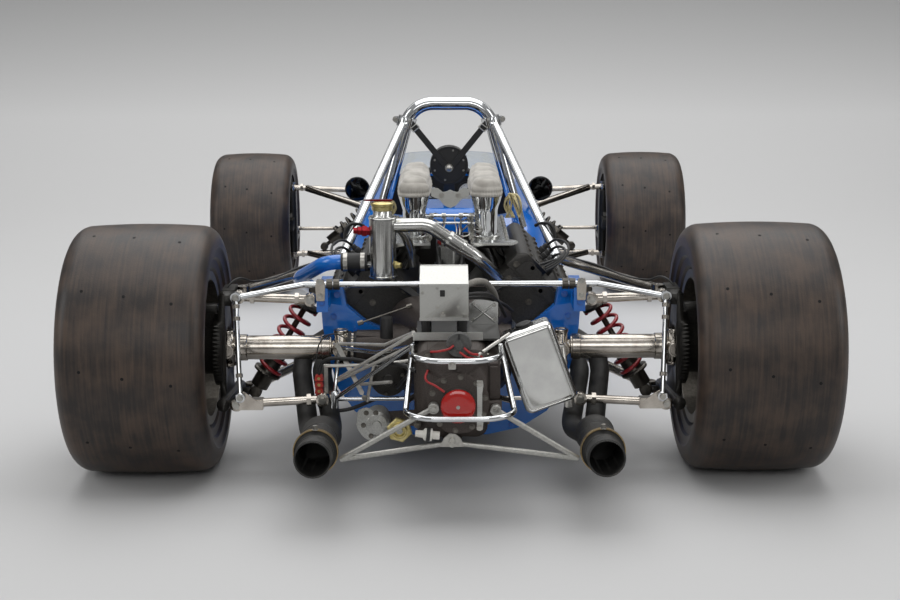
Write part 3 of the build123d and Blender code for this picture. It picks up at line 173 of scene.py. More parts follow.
verts = [(side * FLOOR_HALF, y, z) for y, z in floor_line for side in (-1, 1)]
faces = [(2 * i, 2 * i + 1, 2 * i + 3, 2 * i + 2) for i in range(len(floor_line) - 1)]
smooth(mesh_piece("studio_floor", verts, faces, floor_paint))

world = bpy.context.scene.world or bpy.data.worlds.new("studio")
bpy.context.scene.world = world
world.use_nodes = True
tree = world.node_tree
tree.nodes.clear()
coords = add(tree, "ShaderNodeTexCoord")
height = add(tree, "ShaderNodeSeparateXYZ", links={0: coords.outputs["Generated"]})
sky = ramp(tree, height.outputs["Z"], "#B4B4B4", "#F2F2F2", high=0.8)
ambient = add(tree, "ShaderNodeBackground", values={"Strength": 0.46}, links={0: sky})
add(tree, "ShaderNodeOutputWorld", links={0: ambient.outputs[0]})

# Columns: name, place, point aimed at, width, depth, watts
STUDIO_LAMPS = [
    ("overhead_softbox", (0.0, 0.1, 4.2), (0.0, 0.2, 0.0), 5.0, 6.0, 185),
    ("left_softbox", (-4.6, -2.6, 2.6), (0.0, -0.9, 0.4), 1.6, 3.2, 48),
    ("right_softbox", (4.6, -2.6, 2.6), (0.0, -0.9, 0.4), 1.6, 3.2, 48),
    ("backdrop_softbox", (0.0, 5.0, 5.4), (0.0, 6.2, 0.2), 13.0, 2.5, 260),
    ("camera_softbox", (0.0, -7.4, 3.4), (0.0, -1.3, 0.4), 5.0, 2.0, 85)]
for name, place, target, width, depth, watts in STUDIO_LAMPS:
    lamp = bpy.data.lights.new(name, "AREA")
    lamp.shape = "RECTANGLE"
    lamp.size = width
    lamp.size_y = depth
    lamp.energy = watts
    lamp_object = linked(name, lamp)
    lamp_object.location = place
    lamp_object.rotation_euler = (Vector(target) - Vector(place)).to_track_quat("-Z", "Y").to_euler()

# Camera: behind the car, looking down a little, as the photograph was taken.
IMAGE_WIDTH, FOCAL_PX, SENSOR_WIDTH = 900, 1544.89, 36.0
CAMERA_BEHIND_AXLE, CAMERA_X, CAMERA_Z = 3.9992, -0.0195, 1.3085
PITCH, YAW, ROLL = 0.2098, 0.0043, -0.0031
camera_data = bpy.data.cameras.new("photo_camera")
camera_data.sensor_width = SENSOR_WIDTH
camera_data.lens = SENSOR_WIDTH * FOCAL_PX / IMAGE_WIDTH
camera = linked("photo_camera", camera_data)
looking = Vector((math.sin(YAW) * math.cos(PITCH), math.cos(YAW) * math.cos(PITCH), -math.sin(PITCH)))
level = Vector((math.cos(YAW), -math.sin(YAW), 0))
upward = level.cross(looking)
right = math.cos(ROLL) * level + math.sin(ROLL) * upward
up = math.cos(ROLL) * upward - math.sin(ROLL) * level
camera.matrix_world = Matrix((right, up, -looking)).transposed().to_4x4()
camera.location = at(CAMERA_X, -CAMERA_BEHIND_AXLE, CAMERA_Z)
bpy.context.scene.camera = camera
bpy.context.scene.view_settings.view_transform = "Standard"


def arc(x, r, radius, start, end, steps):
    """Points of an arc about (x, r), angles in degrees from the +x direction."""
    turns = [math.radians(start + (end - start) * i / steps) for i in range(steps + 1)]
    return [(x + radius * math.cos(t), r + radius * math.sin(t)) for t in turns]


def closed_up(piece, gap=0.0):
    """Joins points nearer than a gap and turns every face outwards."""
    shape = bmesh.new()
    shape.from_mesh(piece.data)
    if gap:
        bmesh.ops.remove_doubles(shape, verts=shape.verts, dist=gap)
    bmesh.ops.recalc_face_normals(shape, faces=shape.faces)
    shape.to_mesh(piece.data)
    shape.free()
    return piece


def lathe(name, profile, centre, axis, material, segments=96, closed=False):
    """Turns a profile of (along, radius) about an axis through a centre."""
    axis = Vector(axis).normalized()
    side = axis.orthogonal().normalized()
    other = axis.cross(side)
    verts, faces = [], []
    for along, radius in profile:
        for s in range(segments):
            turn = 2 * math.pi * s / segments
            out = side * math.cos(turn) + other * math.sin(turn)
            verts.append(Vector(centre) + axis * along + out * radius)
    rows = len(profile)
    for i in range(rows if closed else rows - 1):
        j = (i + 1) % rows
        for s in range(segments):
            n = (s + 1) % segments
            faces.append((i * segments + s, i * segments + n, j * segments + n, j * segments + s))
    piece = mesh_piece(name, verts, faces, material)
    return smooth(closed_up(piece, 1e-6))


def turned(name, profile, centre, axis, material, segments=32, body="chassis"):
    """A lathe-turned fitting on a body."""
    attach(lathe(name, profile, centre, axis, material, segments), body)


def sleeve(start, end, inner, outer):
    """The lathe profile of a plain band."""
    return (start, inner), (start, outer), (end, outer), (end, inner)


# Tyres: wide treadless slicks, scrubbed brown-grey by use, with the makers' wear holes still showing.
# Each is a moulded carcase on its wheel.
TREAD_CROWN, SHOULDER_R, RIDGE_PROUD = 0.005, 0.044, 0.0025
WEAR_HOLE_R, WEAR_ROWS = 0.0042, 10
SCUFF_MM, STREAK_MM, GRIT_MM = 70, 7, 4
tyre_rubber, tree, shader = new_material("scrubbed_tyre_rubber")
place = add(tree, "ShaderNodeTexCoord").outputs["Object"]
scuff = add(tree, "ShaderNodeTexNoise", values={"Scale": 1000 / SCUFF_MM, "Detail": 5.0}, links={0: place})
round_tread = add(tree, "ShaderNodeMapping", values={"Scale": (1.0, 0.05, 0.05)}, links={0: place})
streak = add(
    tree, "ShaderNodeTexNoise", values={"Scale": 1000 / STREAK_MM, "Detail": 4.0},
    links={0: round_tread.outputs[0]})
wear = add(
    tree, "ShaderNodeMix", {"data_type": "FLOAT"}, {0: 0.45}, {2: scuff.outputs[0], 3: streak.outputs[0]})
rubber_colour = ramp(tree, wear.outputs[0], "#1D1613", "#413329", 0.40, 0.62)
tree.links.new(rubber_colour, shader.inputs["Base Color"])
rubber_gloss = add(tree, "ShaderNodeMapRange", values={3: 0.38, 4: 0.56}, links={0: wear.outputs[0]})
tree.links.new(rubber_gloss.outputs[0], shader.inputs["Roughness"])
grit = add(tree, "ShaderNodeTexNoise", values={"Scale": 1000 / GRIT_MM, "Detail": 2.0}, links={0: place})
bumped(tree, shader, grit.outputs[0], 0.3, 0.001)
wear_hole_black, _, _ = new_material("wear_hole_shadow", {"Base Color": srgb("#0B0A0A"), "Roughness": 0.9})
# Columns: label, kind of socket, value to start with
HEAD_SOCKETS = [
    ("Points", "NodeSocketGeometry", None), ("Head Radius", "NodeSocketFloat", 0.006),
    ("Head Height", "NodeSocketFloat", 0.006), ("Sides", "NodeSocketInt", 6),
    ("Washer Radius", "NodeSocketFloat", 0.008), ("Finish", "NodeSocketMaterial", None)]


def head_tree(name, domed):
    """Heads set on points along their facing attribute: hexagons on washers, or domes for rivets."""
    group = bpy.data.node_groups.new(name, "GeometryNodeTree")
    sockets = {}
    for label, kind, value in HEAD_SOCKETS:
        socket = group.interface.new_socket(name=label, in_out="INPUT", socket_type=kind)
        if value is not None:
            socket.default_value = value
        sockets[label] = socket.identifier
    group.interface.new_socket(name="Heads", in_out="OUTPUT", socket_type="NodeSocketGeometry")
    given = add(group, "NodeGroupInput").outputs
    if domed:
        ball = add(
            group, "GeometryNodeMeshUVSphere", values={"Segments": 10, "Rings": 6},
            links={"Radius": given["Head Radius"]})
        flat = add(group, "ShaderNodeCombineXYZ", values={0: 1.0, 1: 1.0, 2: 0.5})
        head = add(
            group, "GeometryNodeTransform",
            links={"Geometry": ball.outputs["Mesh"], "Scale": flat.outputs[0]})
    else:
        hexagon = add(
            group, "GeometryNodeMeshCylinder", links={
                "Vertices": given["Sides"], "Radius": given["Head Radius"], "Depth": given["Head Height"]})
        half = add(group, "ShaderNodeMath", {"operation": "MULTIPLY"}, {1: 0.5}, {0: given["Head Height"]})
        lift = add(group, "ShaderNodeCombineXYZ", links={2: half.outputs[0]})
        raised = add(
            group, "GeometryNodeTransform",
            links={"Geometry": hexagon.outputs["Mesh"], "Translation": lift.outputs[0]})
        washer = add(
            group, "GeometryNodeMeshCylinder", values={"Vertices": 14, "Depth": 0.0016},
            links={"Radius": given["Washer Radius"]})
        head = add(group, "GeometryNodeJoinGeometry")
        group.links.new(raised.outputs[0], head.inputs[0])
        group.links.new(washer.outputs["Mesh"], head.inputs[0])
    facing = add(
        group, "GeometryNodeInputNamedAttribute", {"data_type": "FLOAT_VECTOR"}, {"Name": "facing"})
    aimed = add(
        group, "FunctionNodeAlignRotationToVector", {"axis": "Z"},
        links={"Vector": facing.outputs["Attribute"]})
    placed = add(
        group, "GeometryNodeInstanceOnPoints",
        links={"Points": given["Points"], "Instance": head.outputs[0], "Rotation": aimed.outputs[0]})
    solid = add(group, "GeometryNodeRealizeInstances", links={0: placed.outputs[0]})
    coloured = add(
        group, "GeometryNodeSetMaterial",
        links={"Geometry": solid.outputs[0], "Material": given["Finish"]})
    add(group, "NodeGroupOutput", links={0: coloured.outputs[0]})
    return group, sockets


HEX_HEADS = head_tree("hex_heads", domed=False)
DOMED_HEADS = head_tree("domed_heads", domed=True)


def heads(
        name, spots, material, radius, height=0.005, washer=0.0, sides=6, body="chassis", kind=HEX_HEADS):
    """Bolt heads, nuts, rivets or plugs at (point, facing) spots, as one piece; empty spots are left out."""
    spots = [spot for spot in spots if spot]
    group, sockets = kind
    mesh = bpy.data.meshes.new(name)
    mesh.from_pydata([tuple(point) for point, _ in spots], [], [])
    facing = mesh.attributes.new("facing", "FLOAT_VECTOR", "POINT")
    facing.data.foreach_set("vector", [c for _, way in spots for c in Vector(way).normalized()])
    piece = linked(name, mesh)
    modifier = piece.modifiers.new("heads", "NODES")
    modifier.node_group = group
    settings = {
        "Head Radius": radius, "Head Height": height, "Sides": sides,
        "Washer Radius": washer or radius * 0.8, "Finish": material}
    for label, value in settings.items():
        modifier[sockets[label]] = value
    plain = applied(piece)
    piece.modifiers.remove(modifier)
    piece.data = plain
    if kind is DOMED_HEADS:
        smooth(piece, 80)
    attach(piece, body)


for axle, radius, y in AXLES:
    for side, sign in SIDES:
        node = f"{axle}_tyre_{side}"
        low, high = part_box(node)
        half = (high.x - low.x) / 2 - 0.001
        wheel_low, wheel_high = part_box(f"{axle}_wheel_{side}")
        flange_r = (wheel_high.z - wheel_low.z) / 2
        bead = (wheel_high.x - wheel_low.x) / 2 - 0.008
        shoulder_x, shoulder_r = half - SHOULDER_R, radius - TREAD_CROWN - SHOULDER_R
        tread = [(shoulder_x * t / 6, radius - TREAD_CROWN * (t / 6) ** 2) for t in range(6)]
        wall = arc(shoulder_x, shoulder_r, SHOULDER_R, 90, 4, 10)
        wall += [
            (half + RIDGE_PROUD - 0.003, shoulder_r - 0.008),
            (half + RIDGE_PROUD - 0.003, shoulder_r - 0.014), (half - 0.006, shoulder_r - 0.020),
            (half - 0.009, shoulder_r - 0.040), (half - 0.016, (shoulder_r + flange_r) / 2 - 0.008),
            (bead + 0.012, flange_r + 0.010), (bead + 0.004, flange_r + 0.003), (bead, flange_r + 0.001),
            (bead, flange_r - 0.0135)]
        profile = tread + wall
        mirrored = [(-x, r) for x, r in reversed(profile)]
        centre = Vector((sign * WHEEL_X, y, radius))
        tyre = lathe(node + "_slick", mirrored + profile[1:], centre, RIGHT, tyre_rubber, 160, closed=True)
        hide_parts(node)
        body = f"{axle}_wheel_body_{side}"
        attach(tyre, body)
        spots = []
        for row in range(WEAR_ROWS):
            for lane in (-0.74, -0.06, 0.70):
                turn = 2 * math.pi * (row + 0.12 * lane) / WEAR_ROWS
                across = lane * (half - 0.03)
                out = Vector((0, math.cos(turn), math.sin(turn)))
                reach = radius - TREAD_CROWN * (across / shoulder_x) ** 2 - 0.0012
                spots.append((centre + Vector((across, 0, 0)) + out * reach, out))
        heads(node + "_wear_holes", spots, wear_hole_black, WEAR_HOLE_R, 0.0016, sides=10, body=body)


def dress(node, choose, angle=35):
    """A CAD node with its facets smoothed, each of its solids in the finish that choose(low, high) gives."""
    source = frame["nodes"][node]
    shape = bmesh.new()
    shape.from_mesh(source.data)
    bmesh.ops.remove_doubles(shape, verts=shape.verts, dist=1e-5)
    finishes, reached = [], set()
    for start in shape.faces:
        if start in reached:
            continue
        island, waiting = [], [start]
        reached.add(start)
        while waiting:
            face = waiting.pop()
            island.append(face)
            for near in {f for v in face.verts for f in v.link_faces} - reached:
                reached.add(near)
                waiting.append(near)
        points = [v.co for f in island for v in f.verts]
        low = Vector([min(p[i] for p in points) for i in range(3)])
        high = Vector([max(p[i] for p in points) for i in range(3)])
        material = choose(low, high) if callable(choose) else choose
        if material not in finishes:
            finishes.append(material)
        for face in island:
            face.material_index = finishes.index(material)
    mesh = bpy.data.meshes.new(node + "_finished")
    shape.to_mesh(mesh)
    shape.free()
    for material in finishes:
        mesh.materials.append(material)
    piece = linked(node + "_finished", mesh)
    smooth(piece, angle)
    even = piece.modifiers.new("even_shading", "WEIGHTED_NORMAL")
    even.keep_sharp = True
    shaded = applied(piece)
    piece.modifiers.remove(even)
    piece.data = shaded
    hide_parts(node)
    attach(piece, source["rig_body"])


def mottled(
        name, dark, light, grain_mm, metallic, smoothest, roughest, relief=0.0, coat=0.0, stretch=(1, 1, 1)):
    """A finish of two close colours, mottled at a grain size; its gloss and relief follow that grain."""
    material, tree, shader = new_material(name, {"Metallic": metallic, "Coat Weight": coat})
    place = add(tree, "ShaderNodeTexCoord").outputs["Object"]
    drawn = add(tree, "ShaderNodeMapping", values={"Scale": stretch}, links={0: place})
    grain = add(
        tree, "ShaderNodeTexNoise", values={"Scale": 1000 / grain_mm, "Detail": 6.0, "Roughness": 0.6},
        links={0: drawn.outputs[0]})
    colour = ramp(tree, grain.outputs[0], dark, light, 0.35, 0.68)
    gloss = add(
        tree, "ShaderNodeMapRange", values={3: smoothest, 4: roughest}, links={0: grain.outputs[0]})
    tree.links.new(colour, shader.inputs["Base Color"])
    tree.links.new(gloss.outputs[0], shader.inputs["Roughness"])
    if relief:
        bumped(tree, shader, grain.outputs[0], 0.5, relief)
    return material


# Wheels: cast magnesium, five spokes a wheel, with a turned steel disc bolted behind each hub.
# The castings are chromated grey-brown and the discs are bare steel, ground by the pads.
wheel_magnesium = mottled("chromated_magnesium", "#5B5751", "#77726A", 9, 0.85, 0.38, 0.56, relief=0.0002)
disc_steel = mottled("ground_disc_steel", "#6E6C69", "#8C8A86", 3, 1.0, 0.28, 0.42, stretch=(6, 1, 1))
nickel_plate = mottled("nickel_plated_steel", "#A9A299", "#C9C3BA", 40, 1.0, 0.14, 0.28)
HUB_CAP_OUT, WHEEL_NUT_R, WHEEL_STUDS, STUD_CIRCLE_R = 0.060, 0.0105, 5, 0.046
for axle, radius, y in AXLES:
    for side, sign in SIDES:
        node = f"{axle}_wheel_{side}"
        low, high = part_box(node)
        barrel_wide = high.x - low.x
        dress(
            node, lambda a, b, wide=barrel_wide: wheel_magnesium if b.x - a.x > 0.9 * wide else disc_steel)
        hub = Vector((sign * (WHEEL_X + HUB_CAP_OUT), y, radius))
        turns = [2 * math.pi * stud / WHEEL_STUDS for stud in range(WHEEL_STUDS)]
        spots = [
            (hub + STUD_CIRCLE_R * Vector((0, math.cos(t), math.sin(t))), (sign, 0, 0)) for t in turns]
        heads(
            node + "_nuts", spots, nickel_plate, WHEEL_NUT_R, 0.012, 0.0135,
            body=f"{axle}_wheel_body_{side}")

# Bodywork: sheet aluminium riveted over bulkheads, with moulded cowl and nose, all in one bright blue paint.
# Lines of domed rivets show where the skin meets the bulkheads; the gloss varies a little over each panel.
blue_paint = mottled("gloss_blue_paint", "#0A60BA", "#1270C8", 300, 0.0, 0.16, 0.26, coat=0.6)
rivet_blue = mottled("painted_rivet", "#0A56AC", "#0C62BA", 30, 0.0, 0.25, 0.35, coat=0.4)
for node in ("monocoque_tub", "scuttle_cowl", "nose_cone"):
    dress(node, blue_paint, 30)


def skin_of(node):
    """A CAD node's skin, for finding where a line meets it."""
    mesh = frame["nodes"][node].data
    return BVHTree.FromPolygons([v.co for v in mesh.vertices], [p.vertices for p in mesh.polygons])


def on_skin(skin, start, way):
    """Where a line meets a skin: the point and the way the skin faces."""
    point, normal, _, _ = skin.ray_cast(start, way)
    return (point, normal) if point else None


RIVET_R, RIVET_PITCH, SEAM_PITCH, SEAM_LOW, SEAM_RIVETS = 0.0035, 0.032, 0.026, 0.19, 8
SKIN_SEAMS, BULKHEADS = (0.175, 0.300, 0.385), (0.70, 0.97, 1.78, 2.41, 2.62)
tub_low, tub_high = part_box("monocoque_tub")
tub_skin = skin_of("monocoque_tub")
rivet_spots = []
for sign in (-1, 1):
    for height in SKIN_SEAMS:
        for step in range(int((tub_high.y - tub_low.y) / RIVET_PITCH)):
            start = Vector((sign, tub_low.y + (step + 0.5) * RIVET_PITCH, height))
            rivet_spots.append(on_skin(tub_skin, start, Vector((-sign, 0, 0))))
    for ahead in BULKHEADS:
        for step in range(SEAM_RIVETS):
            rivet_spots.append(
                on_skin(tub_skin, at(sign, ahead, SEAM_LOW + step * SEAM_PITCH), Vector((-sign, 0, 0))))
heads("tub_rivets", rivet_spots, rivet_blue, RIVET_R, kind=DOMED_HEADS)
nose_skin = skin_of("nose_cone")
NOSE_SCREWS = [(x, z) for x in (-0.16, 0.0, 0.16) for z in (0.0, 1.0)]
nose_low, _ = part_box("nose_cone")
screw_spots = [
    on_skin(nose_skin, Vector((x, nose_low.y + 0.02, z)), Vector((0, 0, 1 if z == 0 else -1)))
    for x, z in NOSE_SCREWS]
heads("nose_fasteners", screw_spots, nickel_plate, 0.008, 0.002, 0.010, 16)

# Cockpit: a clear blown screen, a black dash with round dials, a leather-rimmed wheel and two round mirrors.
# The screen is screwed to the cowl along its foot; the dials are glass-fronted cans let into the dash.
black_plastic = mottled("black_moulded_plastic", "#131313", "#1E1D1D", 4, 0.0, 0.36, 0.52, relief=0.0001)
black_leather = mottled("black_leather", "#100F0F", "#1C1A19", 2.5, 0.0, 0.42, 0.60, relief=0.0003)
mirror_glass = mottled("silvered_mirror_glass", "#34373A", "#3C3F42", 200, 1.0, 0.03, 0.05)
dial_face = mottled("white_dial_paint", "#D6D4CC", "#E4E2DA", 30, 0.0, 0.5, 0.6)
clear_screen, _, _ = new_material(
    "clear_acrylic_screen",
    {"Base Color": srgb("#EEF3F4"), "Roughness": 0.04, "IOR": 1.49, "Transmission Weight": 0.94})
dress("windscreen", clear_screen, 30)
dress("dash_panel", black_plastic)
dress("steering_wheel", black_leather)
dress(
    "mirrors", lambda low, high: mirror_glass if high.y - low.y < 0.016 else black_plastic)
dash_low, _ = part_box("dash_panel")
# Columns: across, height, radius
DIALS = [(-0.130, 0.475, 0.030), (-0.062, 0.492, 0.026), (0.072, 0.492, 0.040), (0.150, 0.475, 0.026)]
for number, (x, z, radius) in enumerate(DIALS):
    profile = [
        (0.0, 0.0), (0.006, 0.0), (0.006, radius * 0.86), (0.010, radius * 0.9), (0.010, radius),
        (0.0, radius)]
    turned(f"dial_{number}_can", profile, (x, dash_low.y, z), BACK, black_plastic)
    card = [(0.0, 0.0), (0.0012, 0.0), (0.0012, radius * 0.82), (0.0, radius * 0.82)]
    turned(f"dial_{number}_card", card, (x, dash_low.y - 0.0062, z), BACK, dial_face)
    sweep = [math.radians(a) for a in range(-40, 221, 26)]
    ring = 0.68 * radius
    ticks = [
        (Vector((x + ring * math.cos(t), dash_low.y - 0.0072, z + ring * math.sin(t))), BACK) for t in sweep]
    heads(f"dial_{number}_ticks", ticks, black_plastic, 0.0016, 0.0008, sides=4)
# The radiator is a matrix of thin fins and tubes, behind the nose's intake.
radiator_core = mottled(
    "radiator_matrix", "#2A2A2A", "#4A4A48", 2, 0.6, 0.4, 0.6, relief=0.0006, stretch=(1, 1, 5))
dress("radiator", radiator_core)

# Seat: a black vinyl cover sewn in lengthwise channels over thin foam, on the tub's floor and bulkhead.
# Each channel is crowned between its two seams and the whole pad rolls over at its edges.
seat_low, seat_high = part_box("seat")
SEAT_CHANNELS, CHANNEL_CROWN, SEAT_ROWS = 8, 0.010, 40
SEAT_BOW, SEAT_SKIN, HIP_AT = 0.085, 0.004, 0.44
PAD_TOP, PAD_UNDER = 0.0075, 0.0072


def seat_line(t):
    """The seat's middle line from the top of its back (0) to its front edge (1): point and way out."""
    top = Vector((0, seat_low.y + 0.008, seat_high.z))
    hip = Vector((0, seat_low.y + 0.112, seat_low.z + 0.007))
    knee = Vector((0, seat_high.y, seat_low.z + 0.007))
    bend = min(1.0, max(0.0, (t - 0.36) / 0.16))
    bend = bend * bend * (3 - 2 * bend)
    back = top.lerp(hip, min(1.0, t / HIP_AT))
    base = hip.lerp(knee, max(0.0, (t - HIP_AT) / (1 - HIP_AT)))
    out = Vector((0, 1, 0.28)).normalized().lerp(Vector(UP), bend).normalized()
    rise = SEAT_BOW * 0.35 * math.exp(-((t - HIP_AT) / 0.09) ** 2)
    return back.lerp(base, bend) + out * rise, out


COLUMNS = SEAT_CHANNELS * 8
half_wide = (seat_high.x - seat_low.x) / 2
seat_verts, seat_faces = [], []
for row in range(SEAT_ROWS + 1):
    t = row / SEAT_ROWS
    middle, out = seat_line(t)
    edge_row = min(1.0, min(t, 1 - t) * 14)
    for column in range(COLUMNS + 1):
        s = column / COLUMNS
        crown = abs(math.sin(math.pi * SEAT_CHANNELS * s)) ** 0.6
        edge = min(1.0, min(s, 1 - s) * 16)
        puff = (SEAT_SKIN + CHANNEL_CROWN * crown) * math.sqrt(edge) * math.sqrt(edge_row)
        seat_verts.append(middle + Vector(((2 * s - 1) * half_wide, 0, 0)) + out * (PAD_TOP + puff))
wide = COLUMNS + 1
for row in range(SEAT_ROWS):
    for column in range(COLUMNS):
        i = row * wide + column
        seat_faces.append((i, i + wide, i + wide + 1, i + 1))
under = len(seat_verts)
for row in range(SEAT_ROWS + 1):
    middle, out = seat_line(row / SEAT_ROWS)
    for column in range(COLUMNS + 1):
        seat_verts.append(middle + Vector(((2 * column / COLUMNS - 1) * half_wide, 0, 0)) + out * PAD_UNDER)
seat_faces += [tuple(under + i for i in reversed(face)) for face in seat_faces]
rim = [row * wide for row in range(SEAT_ROWS + 1)]
rim += [SEAT_ROWS * wide + column for column in range(1, COLUMNS + 1)]
rim += [row * wide + COLUMNS for row in range(SEAT_ROWS - 1, -1, -1)]
rim += [column for column in range(COLUMNS - 1, 0, -1)]
for i, j in zip(rim, rim[1:] + rim[:1]):
    seat_faces.append((i, under + i, under + j, j))
seat_pad = mesh_piece("seat_pad", seat_verts, seat_faces, black_leather)
smooth(closed_up(seat_pad), 60)
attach(seat_pad, "chassis")
dress("seat", black_plastic)


def tubes(name, paths, radius, material, body="chassis", bent=True, rings=3):
    """Round wires, hoses or pipes along paths of points, bent through them or straight between them."""
    curve = bpy.data.curves.new(name, "CURVE")
    curve.dimensions = "3D"
    curve.bevel_depth = radius
    curve.bevel_resolution = rings
    curve.resolution_u = 8
    curve.use_fill_caps = True
    for points in paths:
        spline = curve.splines.new("BEZIER" if bent else "POLY")
        knots = spline.bezier_points if bent else spline.points
        knots.add(len(points) - 1)
        for knot, point in zip(knots, points):
            knot.co = tuple(point) if bent else (*point, 1.0)
            if bent:
                knot.handle_left_type = knot.handle_right_type = "AUTO"
    drawn = linked(name + "_drawn", curve)
    mesh = applied(drawn)
    bpy.data.objects.remove(drawn)
    mesh.materials.clear()
    mesh.materials.append(material)
    piece = linked(name, mesh)
    smooth(piece, 50)
    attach(piece, body)


def runs(*paths):
    """Paths for tubes, from points as (across, ahead, height)."""
    return [[at(*point) for point in path] for path in paths]


# Headrest: a black moulded disc on a short post, with a ring of screws and a stepped bolt at its middle.
# Two flat black straps run from that bolt up to the hoop's clamps, each ending in a folded loop.
bare_steel = mottled("zinc_plated_steel", "#A19F9A", "#BDBBB5", 12, 1.0, 0.24, 0.38)
dress("headrest", black_plastic)
hoop_low, hoop_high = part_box("roll_hoop")
rest_low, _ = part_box("headrest")
HOOP_Y, REST_Z, REST_R = (hoop_low.y + hoop_high.y) / 2, 0.702, 0.061
strap_back = rest_low.y
bolt_line = [
    (0.0, 0.0), (0.0, 0.013), (0.004, 0.013), (0.004, 0.009), (0.012, 0.009), (0.013, 0.0075),
    (0.018, 0.0075), (0.019, 0.006), (0.019, 0.0)]
turned("headrest_bolt", bolt_line, (0, strap_back, REST_Z - 0.008), BACK, bare_steel, 24)
pad_face = HOOP_Y - (hoop_high.y - hoop_low.y) / 2
turns = [math.radians(a) for a in (20, 75, 160, 200, 255, 340)]
ring = 0.8 * REST_R
spots = [
    (Vector((ring * math.cos(t), pad_face, REST_Z + ring * math.sin(t))), BACK) for t in turns]
heads("headrest_screws", spots, bare_steel, 0.0028, 0.0016, 0.0034, 12)
rib = [(0.0, 0.90 * REST_R), (0.0024, 0.92 * REST_R), (0.0024, 0.985 * REST_R), (0.0, REST_R)]
turned("headrest_rim", rib, (0, pad_face, REST_Z), BACK, black_plastic, 64)
LOOP_HALF, LOOP_DEEP = 0.012, 0.007
for side, sign in SIDES:
    along = Vector((0.62 * sign, 0, 0.78))
    cross = Vector((0.78 * sign, 0, -0.62))
    eye = Vector((sign * 0.108, strap_back - 0.001, 0.822))
    corners = [
        eye + along * (LOOP_DEEP * a) + cross * (LOOP_HALF * c)
        for a, c in ((-1, -1), (-1, 1), (1, 1), (1, -1), (-1, -1))]
    tubes(f"strap_loop_{side}", [corners], 0.0022, bare_steel, bent=False)

# Roll-over hoop and stays: bright chrome-plated steel tube, with split clamps pinched by bolts.
# The clamp halves meet at a pair of lugs outside the hoop, drawn up by a bolt and its nut.
chrome = mottled("chrome_plate", "#C6C8CA", "#DADCDD", 60, 1.0, 0.04, 0.10)
dress("roll_hoop", chrome)
dress("roll_hoop_stays", chrome)


def slab(name, outline, origin, thick, material, bevel=0.0012, across=RIGHT, up=UP):
    """A plate with a flat outline of (across, up) points, thickened about its middle, its edges eased."""
    across, up = Vector(across).normalized(), Vector(up).normalized()
    out = across.cross(up) * (thick / 2)
    shape = bmesh.new()
    front = shape.faces.new([
        shape.verts.new(Vector(origin) + across * a + up * b + out) for a, b in outline])
    grown = bmesh.ops.extrude_face_region(shape, geom=[front])
    moved = [v for v in grown["geom"] if isinstance(v, bmesh.types.BMVert)]
    bmesh.ops.translate(shape, verts=moved, vec=out * -2)
    bmesh.ops.recalc_face_normals(shape, faces=shape.faces)
    if bevel:
        bmesh.ops.bevel(
            shape, geom=shape.edges, offset=bevel, segments=2, affect="EDGES", clamp_overlap=True)
    mesh = bpy.data.meshes.new(name)
    shape.to_mesh(mesh)
    shape.free()
    mesh.materials.append(material)
    piece = linked(name, mesh)
    smooth(piece, 40)
    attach(piece, "chassis")


def oblong(left, right, low, high):
    """The outline of a rectangular plate."""
    return (left, low), (right, low), (right, high), (left, high)


CLAMP_LUG, CLAMP_REACH = 0.010, 0.038
for side, sign in SIDES:
    clamp = Vector((sign * 0.1348, HOOP_Y, 0.8373))
    leg = Vector((sign * 0.2705, 0, -0.9627))
    outward = Vector((sign * 0.9627, 0, 0.2705))
    for lug, shift in (("rear", -0.007), ("front", 0.007)):
        outline = [
            (0.026, -CLAMP_LUG), (CLAMP_REACH, -CLAMP_LUG), (CLAMP_REACH + 0.006, 0.0),
            (CLAMP_REACH, CLAMP_LUG), (0.026, CLAMP_LUG)]
        slab(
            f"clamp_lug_{lug}_{side}", outline, clamp + Vector((0, shift, 0)), 0.008, chrome,
            across=outward, up=leg)
    spots = [(clamp + outward * CLAMP_REACH + Vector((0, y, 0)), (0, y, 0)) for y in (-0.011, 0.011)]
    heads(f"clamp_bolts_{side}", spots, bare_steel, 0.0065, 0.006, 0.008)

# Engine: a light alloy V block and heads under black-enamelled magnesium cam covers, screwed down.
# Spark plug caps stand in the trough of each cover, with black leads run back along it and down into the V.
cast_alloy = mottled("cast_aluminium", "#6E6E6C", "#8E8E8B", 3, 0.9, 0.36, 0.52, relief=0.0003)
dark_magnesium = mottled(
    "black_enamelled_magnesium", "#2B2927", "#413F3C", 3, 0.35, 0.34, 0.50, relief=0.0003)
rubber_hose = mottled("black_rubber_hose", "#121212", "#201F1F", 8, 0.0, 0.45, 0.62, relief=0.0001)
dress("engine_block", cast_alloy)
dress("cylinder_heads", dark_magnesium)
dress("cam_covers", dark_magnesium)
dull_steel = mottled("oil_dulled_steel", "#5A5753", "#7A766F", 10, 1.0, 0.30, 0.44)
CRANK_Z, BANK, HEAD_REAR, COVER_FRONT = 0.215, math.sqrt(0.5), 0.110, 0.620
COVER_TOP, TROUGH_FLOOR, FIRST_BORE, BORE_PITCH = 0.392, 0.376, 0.250, 0.104


def bank(sign, along, across, ahead):
    """A point of a cylinder bank: along its axis, across it towards the exhaust, ahead of the rear axle."""
    return at(sign * BANK * (along + across), ahead, CRANK_Z + BANK * (along - across))


